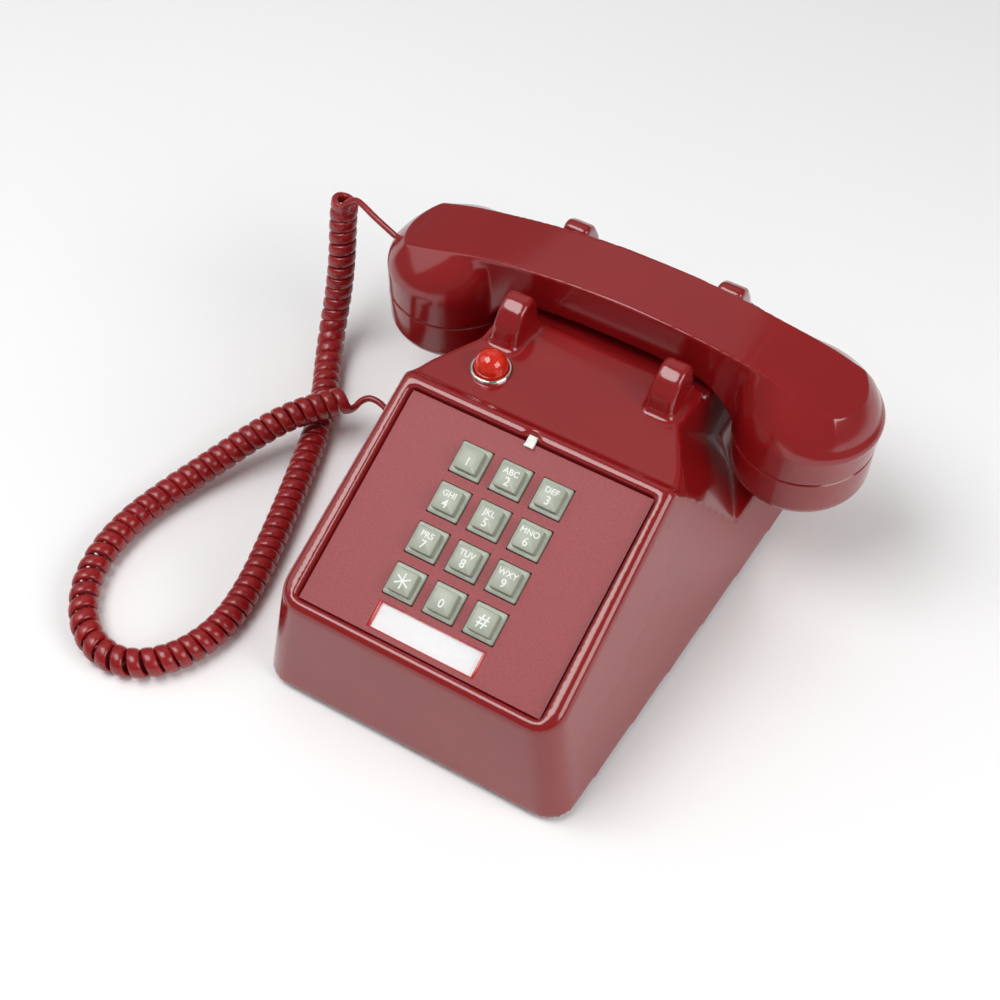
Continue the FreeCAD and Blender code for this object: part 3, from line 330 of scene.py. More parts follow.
def lampRed():
    # Moulded translucent lens, with a faint painted glow from a weak, even emission.
    recipe = Recipe("lampRed")
    # The small red emission is a painted glow over the whole lens; the lens is not lit from inside.
    recipe.set(Transmission_Weight=0.45, IOR=1.5, Subsurface_Weight=0.3, Coat_Weight=0.6, Coat_Roughness=0.03,
               Emission_Strength=0.05, Emission_Color=(1.0, 0.035, 0.008, 1.0))
    recipe.shader.inputs["Subsurface Radius"].default_value = (0.004, 0.0006, 0.0002)
    tone = recipe.noise(260, 3.0)
    recipe.colour(recipe.ramp(tone, [(0.3, (0.72, 0.020, 0.006)), (0.7, (0.90, 0.050, 0.014))]))
    recipe.rough(recipe.spread(tone, 0.05, 0.12))
    return recipe.material


def cordRed():
    recipe = Recipe("cordRed")
    recipe.set(Specular_IOR_Level=0.5, Coat_Weight=0.15, Coat_Roughness=0.12)
    tone = recipe.noise(90, 3.0)
    recipe.colour(recipe.ramp(tone, [(0.3, (0.255, 0.0070, 0.0090)), (0.7, (0.320, 0.0110, 0.0130))]))
    recipe.rough(recipe.spread(recipe.noise(500, 3.0), 0.20, 0.32))
    recipe.bump(recipe.noise(900, 1.0), 0.00005, 0.2)
    return recipe.material


looks = {
    "red": glossyRed(), "plate": mattePlate(), "key": keyGrey(), "legend": legendWhite(), "card": cardPaper(),
    "clear": clearPlastic(), "lamp": lampRed(), "cord": cordRed(),
    "bright": plainPlastic("brightRed", (0.52, 0.010, 0.010), (0.60, 0.016, 0.014), 0.15, 0.25),
    "chrome": plainMetal("chromeRing", (0.72, 0.71, 0.68), (0.85, 0.84, 0.80), 0.06, 0.14),
    "steel": plainMetal("zincSteel", (0.42, 0.42, 0.43), (0.60, 0.60, 0.58)),
    "brass": plainMetal("gongBrass", (0.50, 0.38, 0.17), (0.66, 0.52, 0.26)),
    "black": plainPlastic("blackPlastic", (0.012, 0.012, 0.013), (0.022, 0.022, 0.024)),
    "grey": plainPlastic("greyPlastic", (0.10, 0.10, 0.105), (0.14, 0.14, 0.145)),
    "white": plainPlastic("whitePlastic", (0.60, 0.60, 0.57), (0.70, 0.70, 0.66)),
    "rubber": plainPlastic("footRubber", (0.010, 0.010, 0.010), (0.022, 0.021, 0.020), 0.6, 0.85),
    "board": plainPlastic("circuitBoard", (0.012, 0.075, 0.030), (0.022, 0.110, 0.045), 0.3, 0.45),
}
print("materials made")


# Camera, light and floor.

view = {"place": (0.2264, -0.4146, 0.6533), "tilt": 37.867, "turn": 30.806, "lens": 66.6}


def makeCamera():
    data = bpy.data.cameras.new("camera")
    data.lens = view["lens"]
    data.sensor_width = 36.0
    data.clip_start = 0.01
    camera = bpy.data.objects.new("camera", data)
    camera.location = view["place"]
    camera.rotation_euler = (math.radians(view["tilt"]), 0.0, math.radians(view["turn"]))
    scene.collection.objects.link(camera)
    scene.camera = camera
    scene.view_settings.view_transform = "Standard"


lights = {"sky": 0.22, "key": 8.8, "back": 0.9, "left": 2.0, "right": 7.5}


def softBox(name, place, target, width, length, power):
    data = bpy.data.lights.new(name, "AREA")
    data.shape = "RECTANGLE"
    data.size = width
    data.size_y = length
    data.energy = power
    box = bpy.data.objects.new(name, data)
    box.location = place
    box.rotation_euler = (Vector(target) - Vector(place)).to_track_quat("-Z", "Y").to_euler()
    scene.collection.objects.link(box)


def makeStudio():
    world = bpy.data.worlds.new("studio")
    scene.world = world
    world.use_nodes = True
    sky = world.node_tree.nodes["Background"]
    sky.inputs["Color"].default_value = (1.0, 1.0, 1.0, 1.0)
    sky.inputs["Strength"].default_value = lights["sky"]
    softBox("keyBox", (-0.36, -0.32, 1.15), (0, 0, 0.05), 0.8, 0.6, lights["key"])
    softBox("backBox", (-0.45, 0.78, 1.15), (0, 0, 0.05), 1.1, 0.8, lights["back"])
    softBox("leftBox", (-1.0, -0.3, 0.9), (0, 0, 0.05), 0.8, 0.8, lights["left"])
    softBox("rightBox", (1.0, -0.1, 0.75), (0, 0, 0.05), 0.8, 0.7, lights["right"])
    floor = meshFrom("floor", [(-9, -9, 0), (9, -9, 0), (9, 9, 0), (-9, 9, 0)], [(0, 1, 2, 3)])
    recipe = Recipe("paleFloor")
    recipe.colour(recipe.ramp(recipe.noise(3.0), [(0.3, (0.955, 0.955, 0.955)), (0.7, (0.97, 0.97, 0.97))]))
    recipe.set(Roughness=0.9)
    give(floor, recipe.material)


makeCamera()
makeStudio()
print("studio ready")


# Handset cord.

# The CAD route's points: lead from the handset, coil, lead to the base.
handsetLead = [(-0.1144, 0.0680, 0.0840), (-0.1265, 0.0710, 0.0860), (-0.1400, 0.0765, 0.0870),
               (-0.1495, 0.0805, 0.0810), (-0.1509, 0.0792, 0.0695)]
coilRoute = [(-0.1488, 0.0730, 0.0500), (-0.1496, 0.0688, 0.0300), (-0.1486, 0.0600, 0.0140),
             (-0.1420, 0.0455, 0.0068), (-0.1330, 0.0300, 0.0066), (-0.1250, 0.0140, 0.0066),
             (-0.1185, -0.0060, 0.0066), (-0.1115, -0.0290, 0.0066), (-0.1045, -0.0540, 0.0066),
             (-0.0985, -0.0780, 0.0066), (-0.0965, -0.1020, 0.0066), (-0.1045, -0.1240, 0.0066),
             (-0.1210, -0.1375, 0.0066), (-0.1410, -0.1350, 0.0066), (-0.1565, -0.1200, 0.0066),
             (-0.1645, -0.1000, 0.0066), (-0.1650, -0.0770, 0.0068), (-0.1595, -0.0550, 0.0075),
             (-0.1515, -0.0350, 0.0100), (-0.1415, -0.0160, 0.0160), (-0.1315, -0.0010, 0.0214),
             (-0.1215, 0.0135, 0.0214), (-0.1145, 0.0215, 0.0206)]
baseLead = [(-0.1106, 0.0261, 0.0208), (-0.1050, 0.0283, 0.0208), (-0.0990, 0.0277, 0.0206),
            (-0.0915, 0.0236, 0.0204), (-0.0842, 0.0179, 0.0202), (-0.0779, 0.0160, 0.0200)]
cordSizes = {"coilRadius": 0.00505, "leadWide": 0.0031, "foldWide": 0.0056, "thick": 0.0028, "stated": 0.0052,
             "ringSteps": 12, "turnSteps": 20, "leadStep": 0.0012, "ease": 0.004, "drift": 0.012,
             "fold": 0.012, "firstTurn": -0.74, "fill": 0.965, "pitchBlend": 0.012, "squareness": 0.75}
# The spacing of the turns, each from the route's point onwards.
coilPitches = [((-0.1495, 0.0805, 0.0810), 0.0060), ((-0.1420, 0.0455, 0.0068), 0.0055),
               ((-0.1045, -0.1240, 0.0066), 0.0066), ((-0.1410, -0.1350, 0.0066), 0.0072),
               ((-0.1645, -0.1000, 0.0066), 0.0060), ((-0.1595, -0.0550, 0.0075), 0.0054)]


def routeLine(points):
    # The smooth line that the points control, as closely spaced places.
    curve = bpy.data.curves.new("cordRoute", "CURVE")
    curve.dimensions = "3D"
    curve.resolution_u = 24
    spline = curve.splines.new("NURBS")
    spline.points.add(len(points) - 1)
    for point, place in zip(spline.points, points):
        point.co = (*place, 1.0)
    spline.order_u = 3
    spline.use_endpoint_u = True
    holder = addObject("cordRoute", curve)
    depsgraph = bpy.context.evaluated_depsgraph_get()
    mesh = bpy.data.meshes.new_from_object(holder.evaluated_get(depsgraph))
    line = [v.co.copy() for v in mesh.vertices]
    bpy.data.objects.remove(holder)
    bpy.data.curves.remove(curve)
    bpy.data.meshes.remove(mesh)
    return line


def easeBetween(start, end, value):
    part = min(max((value - start) / (end - start), 0.0), 1.0)
    return part * part * (3 - 2 * part)


def nearestPlace(line, lengths, point):
    best = min(range(len(line)), key=lambda i: (line[i] - Vector(point)).length)
    return lengths[best]


def makeCord():
    line = routeLine(handsetLead + coilRoute + baseLead)
    lengths = [0.0]
    for a, b in zip(line, line[1:]):
        lengths.append(lengths[-1] + (b - a).length)
    coilStart = nearestPlace(line, lengths, handsetLead[-2])
    coilEnd = nearestPlace(line, lengths, coilRoute[-1])
    starts = [(nearestPlace(line, lengths, point), pitch) for point, pitch in coilPitches]

    def pitchAt(s):
        here = starts[0][1]
        for start, pitch in starts:
            blend = min(max((s - start) / cordSizes["pitchBlend"], 0.0), 1.0)
            here += (pitch - here) * blend
        return here

    # Walk along the line, carrying a frame that never twists, and wind the wire about it.
    path = []
    outward = []
    widths = []
    side = Vector((0, 0, 1)).cross(line[1] - line[0]).normalized()
    turn = cordSizes["firstTurn"]
    place = 0.0
    index = 0
    total = lengths[-1]
    while place < total - cordSizes["leadStep"] / 2:
        while index < len(line) - 2 and lengths[index + 1] < place:
            index += 1
        part = (place - lengths[index]) / (lengths[index + 1] - lengths[index])
        centre = line[index].lerp(line[index + 1], part)
        before = line[max(index - 1, 0)]
        after = line[min(index + 2, len(line) - 1)]
        along = (after - before).normalized()
        side = (side - along * side.dot(along)).normalized()
        other = along.cross(side)
        grow = easeBetween(coilStart - cordSizes["drift"], coilStart, place)
        grow *= 1 - easeBetween(coilEnd, coilEnd + cordSizes["drift"], place)
        away = side * math.cos(turn) + other * math.sin(turn)
        path.append(centre + away * cordSizes["coilRadius"] * grow)
        outward.append(away)
        turning = min(pitchAt(place) * cordSizes["fill"], cordSizes["foldWide"])
        flat = min(max((place - coilStart) / cordSizes["fold"] + 1.0, 0.0), 1.0)
        flat *= 1 - easeBetween(coilEnd, coilEnd + cordSizes["ease"], place)
        widths.append(cordSizes["leadWide"] + (turning - cordSizes["leadWide"]) * flat)
        winding = easeBetween(coilStart, coilStart + cordSizes["ease"], place)
        winding *= 1 - easeBetween(coilEnd - cordSizes["ease"], coilEnd, place)
        fine = pitchAt(place) / cordSizes["turnSteps"]
        near = coilStart - fine <= place <= coilEnd
        step = fine if near else cordSizes["leadStep"]
        turn += 2 * math.pi * winding * step / pitchAt(place)
        place += step
    path.append(line[-1])
    outward.append(outward[-1])
    widths.append(widths[-1])
    return path, outward, widths


def sweepWire(name, path, outward, widths):
    # A flat-oval wire swept along the path, its flat side facing the coil's axis.
    steps = cordSizes["ringSteps"]
    points = []
    for i, place in enumerate(path):
        along = (path[min(i + 1, len(path) - 1)] - path[max(i - 1, 0)]).normalized()
        away = (outward[i] - along * outward[i].dot(along)).normalized()
        across = along.cross(away)
        for k in range(steps):
            angle = 2 * math.pi * k / steps
            c = math.cos(angle)
            q = math.sin(angle)
            flatC = math.copysign(abs(c) ** cordSizes["squareness"], c)
            flatQ = math.copysign(abs(q) ** cordSizes["squareness"], q)
            points.append(place + across * flatC * widths[i] / 2 + away * flatQ * cordSizes["thick"] / 2)
    faces = []
    for i in range(len(path) - 1):
        for k in range(steps):
            m = (k + 1) % steps
            faces.append((i * steps + k, i * steps + m, (i + 1) * steps + m, (i + 1) * steps + k))
    faces.append(tuple(range(steps))[::-1])
    last = (len(path) - 1) * steps
    faces.append(tuple(range(last, last + steps)))
    wire = faceOutwards(meshFrom(name, points, faces))
    return smoothBelow(wire, 50)


cordPath, cordOutward, cordWidths = makeCord()
cord = give(sweepWire("coiledCord", cordPath, cordOutward, cordWidths), looks["cord"])
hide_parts("cord_coil", "cord_handset_lead", "cord_base_lead")
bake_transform(cord)
print("cord made")


# Housing.

housingSizes = {"voxel": 0.0012, "ease": 6}


def roundOver(obj, voxel, ease, keep=1.0):
    # Gives a moulded piece one skin with softly rounded edges.
    remesh = obj.modifiers.new("Skin", "REMESH")
    remesh.mode = "VOXEL"
    remesh.voxel_size = voxel
    smooth = obj.modifiers.new("Ease", "SMOOTH")
    smooth.factor = 0.5
    smooth.iterations = ease
    if keep < 1:
        thin = obj.modifiers.new("Thin", "DECIMATE")
        thin.ratio = keep
    settle(obj)
    return smoothBelow(obj, 75)


def makeHousing():
    shell = copyOfNode("housing", "housingShell")
    roundOver(shell, housingSizes["voxel"], housingSizes["ease"])
    give(shell, looks["red"])
    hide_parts("housing")
    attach(shell, "base")


makeHousing()
print("housing made")


# Handset.

handset = {"axis": 0.068, "half": 0.015, "capX": 0.0836, "radius": 0.0296, "seam": 0.073, "ring": 0.0850,
           "topLeft": 0.0995, "topMiddle": 0.1175, "topRight": 0.104, "endX": 0.099, "thick": 0.021,
           "neck": 0.0214, "bulge": 2.1, "flare": 0.0016, "flareRate": 2.0, "flareFrom": 0.25,
           "overlap": 0.003, "backSteps": 60, "voxel": 0.0007, "ease": 4, "keep": 0.9}
# The underside of the handle: where it leaves each cup, its shoulder, and where the grip's arc starts.
underside = {"cupX": 0.058, "shoulderX": 0.0515, "gripX": 0.040, "shoulderRight": 0.0865,
             "shoulderLeft": 0.0860, "gripRight": 0.0942, "gripLeft": 0.0936}


def archHeight(x):
    # Height of the handset's arched back: a parabola over the line between its two ends.
    line = arcPoints((-handset["endX"], handset["topLeft"]), (0, handset["topMiddle"]),
                     (handset["endX"], handset["topRight"]), 2)
    (ax, ay), (bx, by), (cx, cy) = line
    part = (x - ax) / (cx - ax)
    chord = ay + (cy - ay) * part
    rise = by - (ay + cy) / 2
    return chord + rise * (1 - (2 * part - 1) ** 2)


def handleOutline():
    end = handset["endX"]
    low = handset["seam"] + handset["overlap"]
    under = handset["topMiddle"] - handset["thick"]
    steps = handset["backSteps"]
    back = [(x / steps * end, archHeight(x / steps * end)) for x in range(-steps, steps + 1)]
    cupRight = (underside["cupX"], low)
    cupLeft = (-underside["cupX"], low)
    shoulderRight = (underside["shoulderX"], underside["shoulderRight"])
    shoulderLeft = (-underside["shoulderX"], underside["shoulderLeft"])
    gripRight = (underside["gripX"], underside["gripRight"])
    gripLeft = (-underside["gripX"], underside["gripLeft"])
    right = [(end, low)] + arcPoints(cupRight, shoulderRight, gripRight, 12)
    grip = arcPoints(gripRight, (0, under), gripLeft, 40)[1:-1]
    left = arcPoints(gripLeft, shoulderLeft, cupLeft, 12) + [(-end, low)]
    return back + right + grip + left


def makeHandle():
    outline = handleOutline()
    count = len(outline)
    points = []
    for side in (-1, 1):
        points += [(x, handset["axis"] + side * handset["half"], z) for x, z in outline]
    faces = [tuple(range(count)), tuple(range(count, 2 * count))[::-1]]
    for i in range(count):
        j = (i + 1) % count
        faces.append((i, j, count + j, count + i))
    return faceOutwards(meshFrom("handle", points, faces))


def makeEnd(side, steps=144, levels=16):
    # The flared end: a circle at the ring, and above it the shape of the handle with a round tip.
    radius = handset["radius"]
    half = handset["half"]
    points = []
    rows = [("low", 0.0)] + [("flare", i / levels) for i in range(levels + 1)]
    for kind, part in rows:
        for k in range(steps):
            turn = 2 * math.pi * k / steps
            c = math.cos(turn)
            q = abs(math.sin(turn))
            top = min(handset["neck"] if c > 0 else radius, half / max(q, 1e-4))
            reach = radius + (top - radius) * part ** handset["bulge"]
            if kind == "flare" and side > 0:
                swell = min(1.0, part * handset["flareRate"] + handset["flareFrom"])
                reach += handset["flare"] * math.sin(math.pi * swell) * max(c, 0.0)
            x = side * (handset["capX"] + reach * c)
            y = handset["axis"] + reach * math.sin(turn)
            z = handset["seam"]
            if kind == "flare":
                z = handset["ring"] + (archHeight(x) - handset["ring"]) * part
            points.append((x, y, z))
    faces = [tuple(range(steps))[::-1]]
    for row in range(len(rows) - 1):
        for k in range(steps):
            m = (k + 1) % steps
            faces.append((row * steps + k, row * steps + m, (row + 1) * steps + m, (row + 1) * steps + k))
    last = (len(rows) - 1) * steps
    faces.append(tuple(range(last, last + steps)))
    return faceOutwards(meshFrom("end", points, faces))


def joinMeshes(name, objects):
    bm = bmesh.new()
    for obj in objects:
        bm.from_mesh(obj.data)
        bpy.data.objects.remove(obj)
    mesh = bpy.data.meshes.new(name)
    bm.to_mesh(mesh)
    bm.free()
    return addObject(name, mesh)


def makeHandset():
    shell = joinMeshes("handsetShell", [makeHandle(), makeEnd(1), makeEnd(-1)])
    roundOver(shell, handset["voxel"], handset["ease"], handset["keep"])
    give(shell, looks["red"])
    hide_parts("handset_shell")
    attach(shell, "handset")


capSizes = {"wall": 0.0024, "floor": 0.0507, "round": 0.0075, "crown": 0.0010, "hole": 0.0011,
            "spacing": 0.0054, "rodDepth": 0.02, "rodSides": 20}


def perforations(name, rings, middle):
    # Geometry Nodes put one small rod at each point of each ring of holes.
    tree = bpy.data.node_groups.new(name, "GeometryNodeTree")
    tree.interface.new_socket("Geometry", in_out="INPUT", socket_type="NodeSocketGeometry")
    radius = tree.interface.new_socket("Hole radius", in_out="INPUT", socket_type="NodeSocketFloat")
    spacing = tree.interface.new_socket("Ring spacing", in_out="INPUT", socket_type="NodeSocketFloat")
    tree.interface.new_socket("Geometry", in_out="OUTPUT", socket_type="NodeSocketGeometry")
    add = tree.nodes.new
    link = tree.links.new
    inside = add("NodeGroupInput")
    outside = add("NodeGroupOutput")
    join = add("GeometryNodeJoinGeometry")
    rod = add("GeometryNodeMeshCylinder")
    rod.inputs["Vertices"].default_value = capSizes["rodSides"]
    rod.inputs["Depth"].default_value = capSizes["rodDepth"]
    link(inside.outputs["Hole radius"], rod.inputs["Radius"])
    for ring, count in enumerate(rings):
        circle = add("GeometryNodeMeshCircle")
        circle.inputs["Vertices"].default_value = max(count, 3)
        reach = add("ShaderNodeMath")
        reach.operation = "MULTIPLY"
        reach.inputs[1].default_value = float(ring if count > 1 else 0)
        link(inside.outputs["Ring spacing"], reach.inputs[0])
        link(reach.outputs[0], circle.inputs["Radius"])
        spread = add("GeometryNodeInstanceOnPoints")
        link(circle.outputs["Mesh"], spread.inputs["Points"])
        link(rod.outputs["Mesh"], spread.inputs["Instance"])
        link(spread.outputs["Instances"], join.inputs["Geometry"])
    shift = add("GeometryNodeTransform")
    shift.inputs["Translation"].default_value = middle
    real = add("GeometryNodeRealizeInstances")
    finish = add("GeometryNodeSetMaterial")
    finish.inputs["Material"].default_value = looks["red"]
    link(join.outputs["Geometry"], shift.inputs["Geometry"])
    link(shift.outputs["Geometry"], real.inputs["Geometry"])
    link(real.outputs["Geometry"], finish.inputs["Geometry"])
    link(finish.outputs["Geometry"], outside.inputs["Geometry"])
    holes = addObject(name, bpy.data.meshes.new(name))
    modifier = holes.modifiers.new("Perforations", "NODES")
    modifier.node_group = tree
    modifier[radius.identifier] = capSizes["hole"]
    modifier[spacing.identifier] = capSizes["spacing"]
    return settle(holes)


def makeCap(name, node, side, rings):
    r = handset["radius"]
    wall = capSizes["wall"]
    floor = capSizes["floor"]
    bend = capSizes["round"]
    seam = handset["seam"] - 0.0002
    outside = [(0.0, floor + capSizes["crown"]), (r * 0.35, floor + 0.0008), (r - bend - 0.002, floor)]
    for i in range(1, 13):
        turn = math.radians(90 * i / 12)
        outside.append((r - 0.0003 - bend + bend * math.sin(turn), floor + bend - bend * math.cos(turn)))
    outside += [(r, seam - 0.004), (r, seam - 0.0005), (r - 0.0005, seam)]
    ceiling = floor + wall + capSizes["crown"]
    inside = [(r - wall, seam), (r - wall, floor + bend), (r - wall - 0.004, ceiling), (0.0, ceiling)]
    middle = (side * handset["capX"], handset["axis"], 0.0)
    cap = lathe(name, outside + inside, middle, 128)
    holes = perforations(name + "Holes", rings, (middle[0], middle[1], floor))
    drill = cap.modifiers.new("Drill", "BOOLEAN")
    drill.operation = "DIFFERENCE"
    drill.solver = "EXACT"
    drill.object = holes
    settle(cap)
    bpy.data.objects.remove(holes)
    smoothBelow(cap, 35)
    give(cap, looks["red"])
    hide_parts(node)
    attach(cap, "handset")


makeHandset()
makeCap("earCap", "ear_cap", 1, (1, 6))
makeCap("mouthCap", "mouth_cap", -1, (1, 6, 12))
print("handset made")


# Keypad.

keypad = {"slope": 23.9, "y": -0.0514, "z": 0.0766, "pitch": 0.0182, "skirt": 0.0067, "top": 0.0050,
          "corner": 0.0007, "step": 0.0010, "height": 0.0042, "sink": 0.0026, "edge": 0.0001}
keyRows = [("1", "2", "3"), ("4", "5", "6"), ("7", "8", "9"), ("star", "0", "pound")]
keyLetters = {"2": "ABC", "3": "DEF", "4": "GHI", "5": "JKL", "6": "MNO", "7": "PRS", "8": "TUV", "9": "WXY"}
legends = {"letters": 0.0034, "digit": 0.0050, "pound": 0.0078, "lettersUp": 0.0021, "digitDown": 0.0020,
           "aloneDown": 0.0012, "stretch": 1.05, "raised": 0.00004, "bolder": 0.00006, "above": 0.00002,
           "barLong": 0.0034, "barWide": 0.00032, "barLow": 0.00003, "barHigh": 0.00006, "barApart": 0.000002}
keypadFrame = (Matrix.Translation((0, keypad["y"], keypad["z"]))
               @ Matrix.Rotation(math.radians(keypad["slope"]), 4, "X"))


def squareRing(half, corner, height, steps=4):
    ring = []
    for cornerIndex in range(4):
        start = cornerIndex * math.pi / 2
        cx = (half - corner) * (1 if cornerIndex in (0, 3) else -1)
        cy = (half - corner) * (1 if cornerIndex in (0, 1) else -1)
        for i in range(steps + 1):
            turn = start + math.pi / 2 * i / steps
            ring.append((cx + corner * math.cos(turn), cy + corner * math.sin(turn), height))
    return ring


def stackRings(name, rings, place):
    count = len(rings[0])
    points = [p for ring in rings for p in ring]
    faces = [tuple(range(count))[::-1]]
    for row in range(len(rings) - 1):
        for k in range(count):
            m = (k + 1) % count
            faces.append((row * count + k, row * count + m, (row + 1) * count + m, (row + 1) * count + k))
    last = (len(rings) - 1) * count
    faces.append(tuple(range(last, last + count)))
    obj = meshFrom(name, points, faces)
    obj.data.transform(place)
    return faceOutwards(obj)


def keyPlace(column, row):
    across = (column - 1) * keypad["pitch"]
    along = (1.5 - row) * keypad["pitch"]
    return keypadFrame @ Matrix.Translation((across, along, 0))


def makeKey(label, place):
    skirt = keypad["skirt"]
    top = keypad["top"]
    corner = keypad["corner"]
    step = keypad["step"]
    height = keypad["height"]
    edge = keypad["edge"]
    levels = [(skirt, corner, -keypad["sink"]), (skirt, corner, step - 3 * edge),
              (skirt - edge, corner, step - edge), (skirt - 3 * edge, corner, step),
              (top + edge, corner, step), (top, corner, step + edge), (top, corner, height - 5 * edge),
              (top - edge, corner, height - 2 * edge), (top - 5 * edge, corner, height)]
    rings = [squareRing(*level) for level in levels]
    key = smoothBelow(stackRings("key" + label.title(), rings, place), 32)
    give(key, looks["key"])
    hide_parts("button_" + label)
    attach(key, "button_" + label)


def textMesh(name, words, size, middle, place, stretch=1.0):
    data = bpy.data.curves.new(name, "FONT")
    data.body = words
    data.size = size
    data.align_x = "CENTER"
    data.align_y = "CENTER"
    data.extrude = legends["raised"]
    data.offset = legends["bolder"]
    data.resolution_u = 4
    holder = addObject(name, data)
    depsgraph = bpy.context.evaluated_depsgraph_get()
    mesh = bpy.data.meshes.new_from_object(holder.evaluated_get(depsgraph))
    bpy.data.objects.remove(holder)
    lift = Matrix.Translation((middle[0], middle[1], keypad["height"] + legends["above"]))
    mesh.transform(place @ lift @ Matrix.Diagonal((stretch, 1, 1, 1)))
    return addObject(name, mesh)


def makeLegend(label, place):
    if label in keyLetters:
        letters = textMesh("letters" + label, keyLetters[label], legends["letters"],
                           (0, legends["lettersUp"]), place, legends["stretch"])
        digit = textMesh("digit" + label, label, legends["digit"], (0, -legends["digitDown"]), place)
        pieces = [letters, digit]
        legend = joinMeshes("legend" + label, pieces)
    elif label == "star":
        legend = makeStar(place)
    elif label == "pound":
        legend = textMesh("legendPound", "#", legends["pound"], (0, 0), place)
    else:
        legend = textMesh("legend" + label, label, legends["digit"], (0, -legends["aloneDown"]), place)
    give(legend, looks["legend"])
    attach(legend, "button_" + label)


def makeStar(place):
    # Three crossed bars, each a hair above the last so that no two faces coincide.
    points = []
    faces = []
    long = legends["barLong"]
    wide = legends["barWide"]
    low = keypad["height"] - legends["barLow"]
    high = keypad["height"] + legends["barHigh"]
    for i in range(3):
        turn = Matrix.Rotation(math.radians(60 * i + 30), 4, "Z")
        start = len(points)
        for z in (low, high):
            for x, y in ((-long, -wide), (long, -wide), (long, wide), (-long, wide)):
                points.append(turn @ Vector((x, y, z + legends["barApart"] * i)))
        for face in ((3, 2, 1, 0), (4, 5, 6, 7), (0, 1, 5, 4), (1, 2, 6, 5), (2, 3, 7, 6), (3, 0, 4, 7)):
            faces.append(tuple(start + index for index in face))
    star = meshFrom("legendStar", points, faces)
    star.data.transform(place)
    return star


for row, labels in enumerate(keyRows):
    for column, label in enumerate(labels):
        place = keyPlace(column, row)
        makeKey(label, place)
        makeLegend(label, place)
print("keys made")


# Number card and faceplate latch.

card = {"y": -0.0428, "wide": 0.0482, "long": 0.0112, "side": 0.0011, "rail": 0.00035, "low": -0.00112,
        "high": -0.00005, "glassLow": -0.0009, "glassHigh": -0.0003, "gap": 0.0001}
latch = {"y": 0.0445, "wide": 0.0040, "long": 0.0052, "low": 0.0001, "high": 0.0013, "lip": 0.0011}


def blockOnKeypad(name, wide, long, middle, low, high, soften):
    # A softened block lying in the plane of the faceplate.
    x = wide / 2
    y = long / 2
    piece = slab(name, [(-x, -y), (x, -y), (x, y), (-x, y)], low, high)
    softenEdges(piece, soften, 40, 2)
    piece.data.transform(keypadFrame @ Matrix.Translation((middle[0], middle[1], 0)))
    return smoothBelow(piece, 50)


def makeCardFrame():
    bars = []
    endX = (card["wide"] - card["side"]) / 2
    railY = (card["long"] - card["rail"]) / 2
    inner = card["wide"] - 2 * card["side"] - card["gap"]
    for side in (-1, 1):
        bars.append(blockOnKeypad("bar", card["side"], card["long"], (side * endX, card["y"]), card["low"],
                                  card["high"], 0.0002))
        bars.append(blockOnKeypad("rail", inner, card["rail"], (0, card["y"] + side * railY), card["low"],
                                  card["high"], 0.00008))
    surround = joinMeshes("cardFrame", bars)
    give(surround, looks["bright"])
    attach(surround, "base")
    glassLong = card["long"] - 2 * card["rail"] - card["gap"]
    glass = blockOnKeypad("cardGlass", inner, glassLong, (0, card["y"]), card["glassLow"],
                          card["glassHigh"], 0.00012)
    give(glass, looks["clear"])
    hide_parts("card_window")
    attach(glass, "base")


def makeLatch():
    tab = blockOnKeypad("tab", latch["wide"], latch["long"], (0, latch["y"]), latch["low"],
                        latch["high"], 0.0003)
    lipY = latch["y"] - (latch["long"] - latch["lip"]) / 2
    lip = blockOnKeypad("lip", latch["wide"], latch["lip"], (0, lipY), latch["high"] - 0.0001,
                        latch["high"] + 0.0006, 0.0002)
    piece = give(joinMeshes("latchTab", [tab, lip]), looks["legend"])
    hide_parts("faceplate_latch")
    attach(piece, "base")


makeCardFrame()
makeLatch()
print("card and latch made")


# Message lamp.

lamp = {"x": -0.033, "y": 0.0135, "shelf": 0.0955, "lens": 0.0069, "dome": 0.0098, "ring": 0.0089,
        "collar": 0.0030, "thick": 0.0014, "sink": 0.0030, "arcSteps": 14}


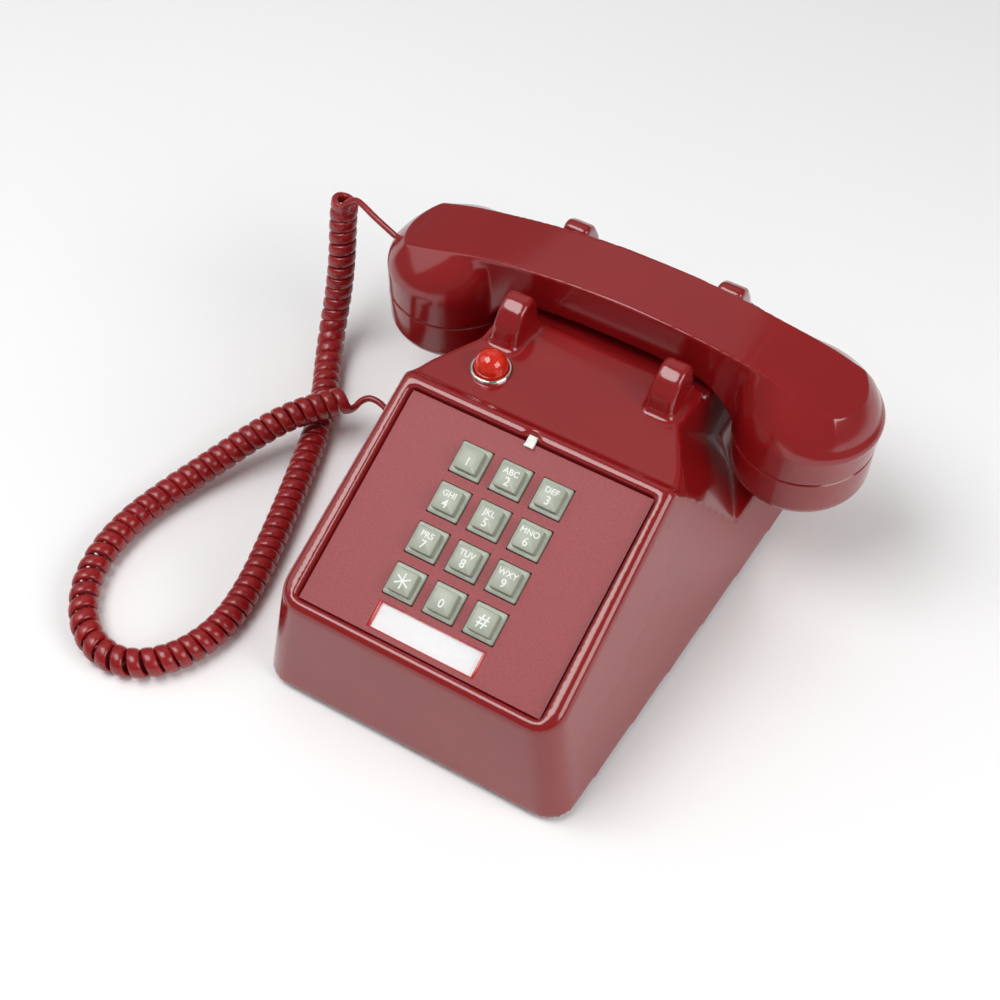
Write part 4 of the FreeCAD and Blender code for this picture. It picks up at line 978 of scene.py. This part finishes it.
def makeLamp():
    middle = (lamp["x"], lamp["y"], lamp["shelf"])
    r = lamp["ring"]
    profile = [(0.0070, 0.0001), (0.0071, 0.0012), (0.0074, 0.0016), (0.0079, 0.0018), (0.0084, 0.0016),
               (r - 0.0001, 0.0010), (r, 0.0004), (r, 0.0)]
    bezel = smoothBelow(lathe("lampRing", profile, middle, 96), 60)
    give(bezel, looks["chrome"])
    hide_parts("lamp_bezel")
    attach(bezel, "base")
    lens = lamp["lens"]
    base = lamp["collar"]
    thick = lamp["thick"]
    steps = lamp["arcSteps"]
    rise = lamp["dome"] - base
    outline = [(lens - 0.0006, -lamp["sink"]), (lens, 0.0004), (lens, base)]
    for i in range(1, steps + 1):
        turn = math.radians(90 * i / steps)
        outline.append((lens * math.cos(turn), base + rise * math.sin(turn)))
    outline[-1] = (0.0, lamp["dome"])
    inner = [(0.0, lamp["dome"] - thick)]
    for i in range(steps - 1, -1, -1):
        turn = math.radians(90 * i / steps)
        inner.append(((lens - thick) * math.cos(turn), base + (rise - thick) * math.sin(turn)))
    inner.append((lens - 0.0018, -lamp["sink"]))
    cover = smoothBelow(lathe("lampLens", outline + inner, middle, 72), 50)
    give(cover, looks["lamp"])
    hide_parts("lamp_lens")
    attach(cover, "base")


makeLamp()
print("lamp made")


# The CAD nodes that are kept.

nodeLooks = {
    "faceplate": "plate", "designation_card": "card", "lamp_bulb": "white", "base_plate": "steel",
    "rubber_feet": "rubber", "housing_screws": "steel", "keypad_frame": "black", "keypad_board": "board",
    "contact_domes": "steel", "board_spacers": "white", "plunger_left": "white", "plunger_right": "white",
    "hook_lever": "steel", "hook_bracket": "steel", "hook_pivot_pin": "steel", "hook_switch": "grey",
    "gong_left": "brass", "gong_right": "brass", "ringer_frame": "steel", "gong_screws": "steel",
    "ringer_coil": "grey", "clapper": "steel", "loudness_wheel": "black", "wheel_bracket": "steel",
    "network_board": "board", "network_components": "black", "base_cord_jack": "black", "line_jack": "black",
    "base_cord_plug": "cord", "handset_cord_plug": "cord", "handset_jack": "black", "receiver_unit": "black",
    "transmitter_unit": "black", "transmitter_contact_cup": "white",
}


def dressNodes():
    for node, look in nodeLooks.items():
        give(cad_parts[node], looks[look])


dressNodes()
print("nodes dressed")
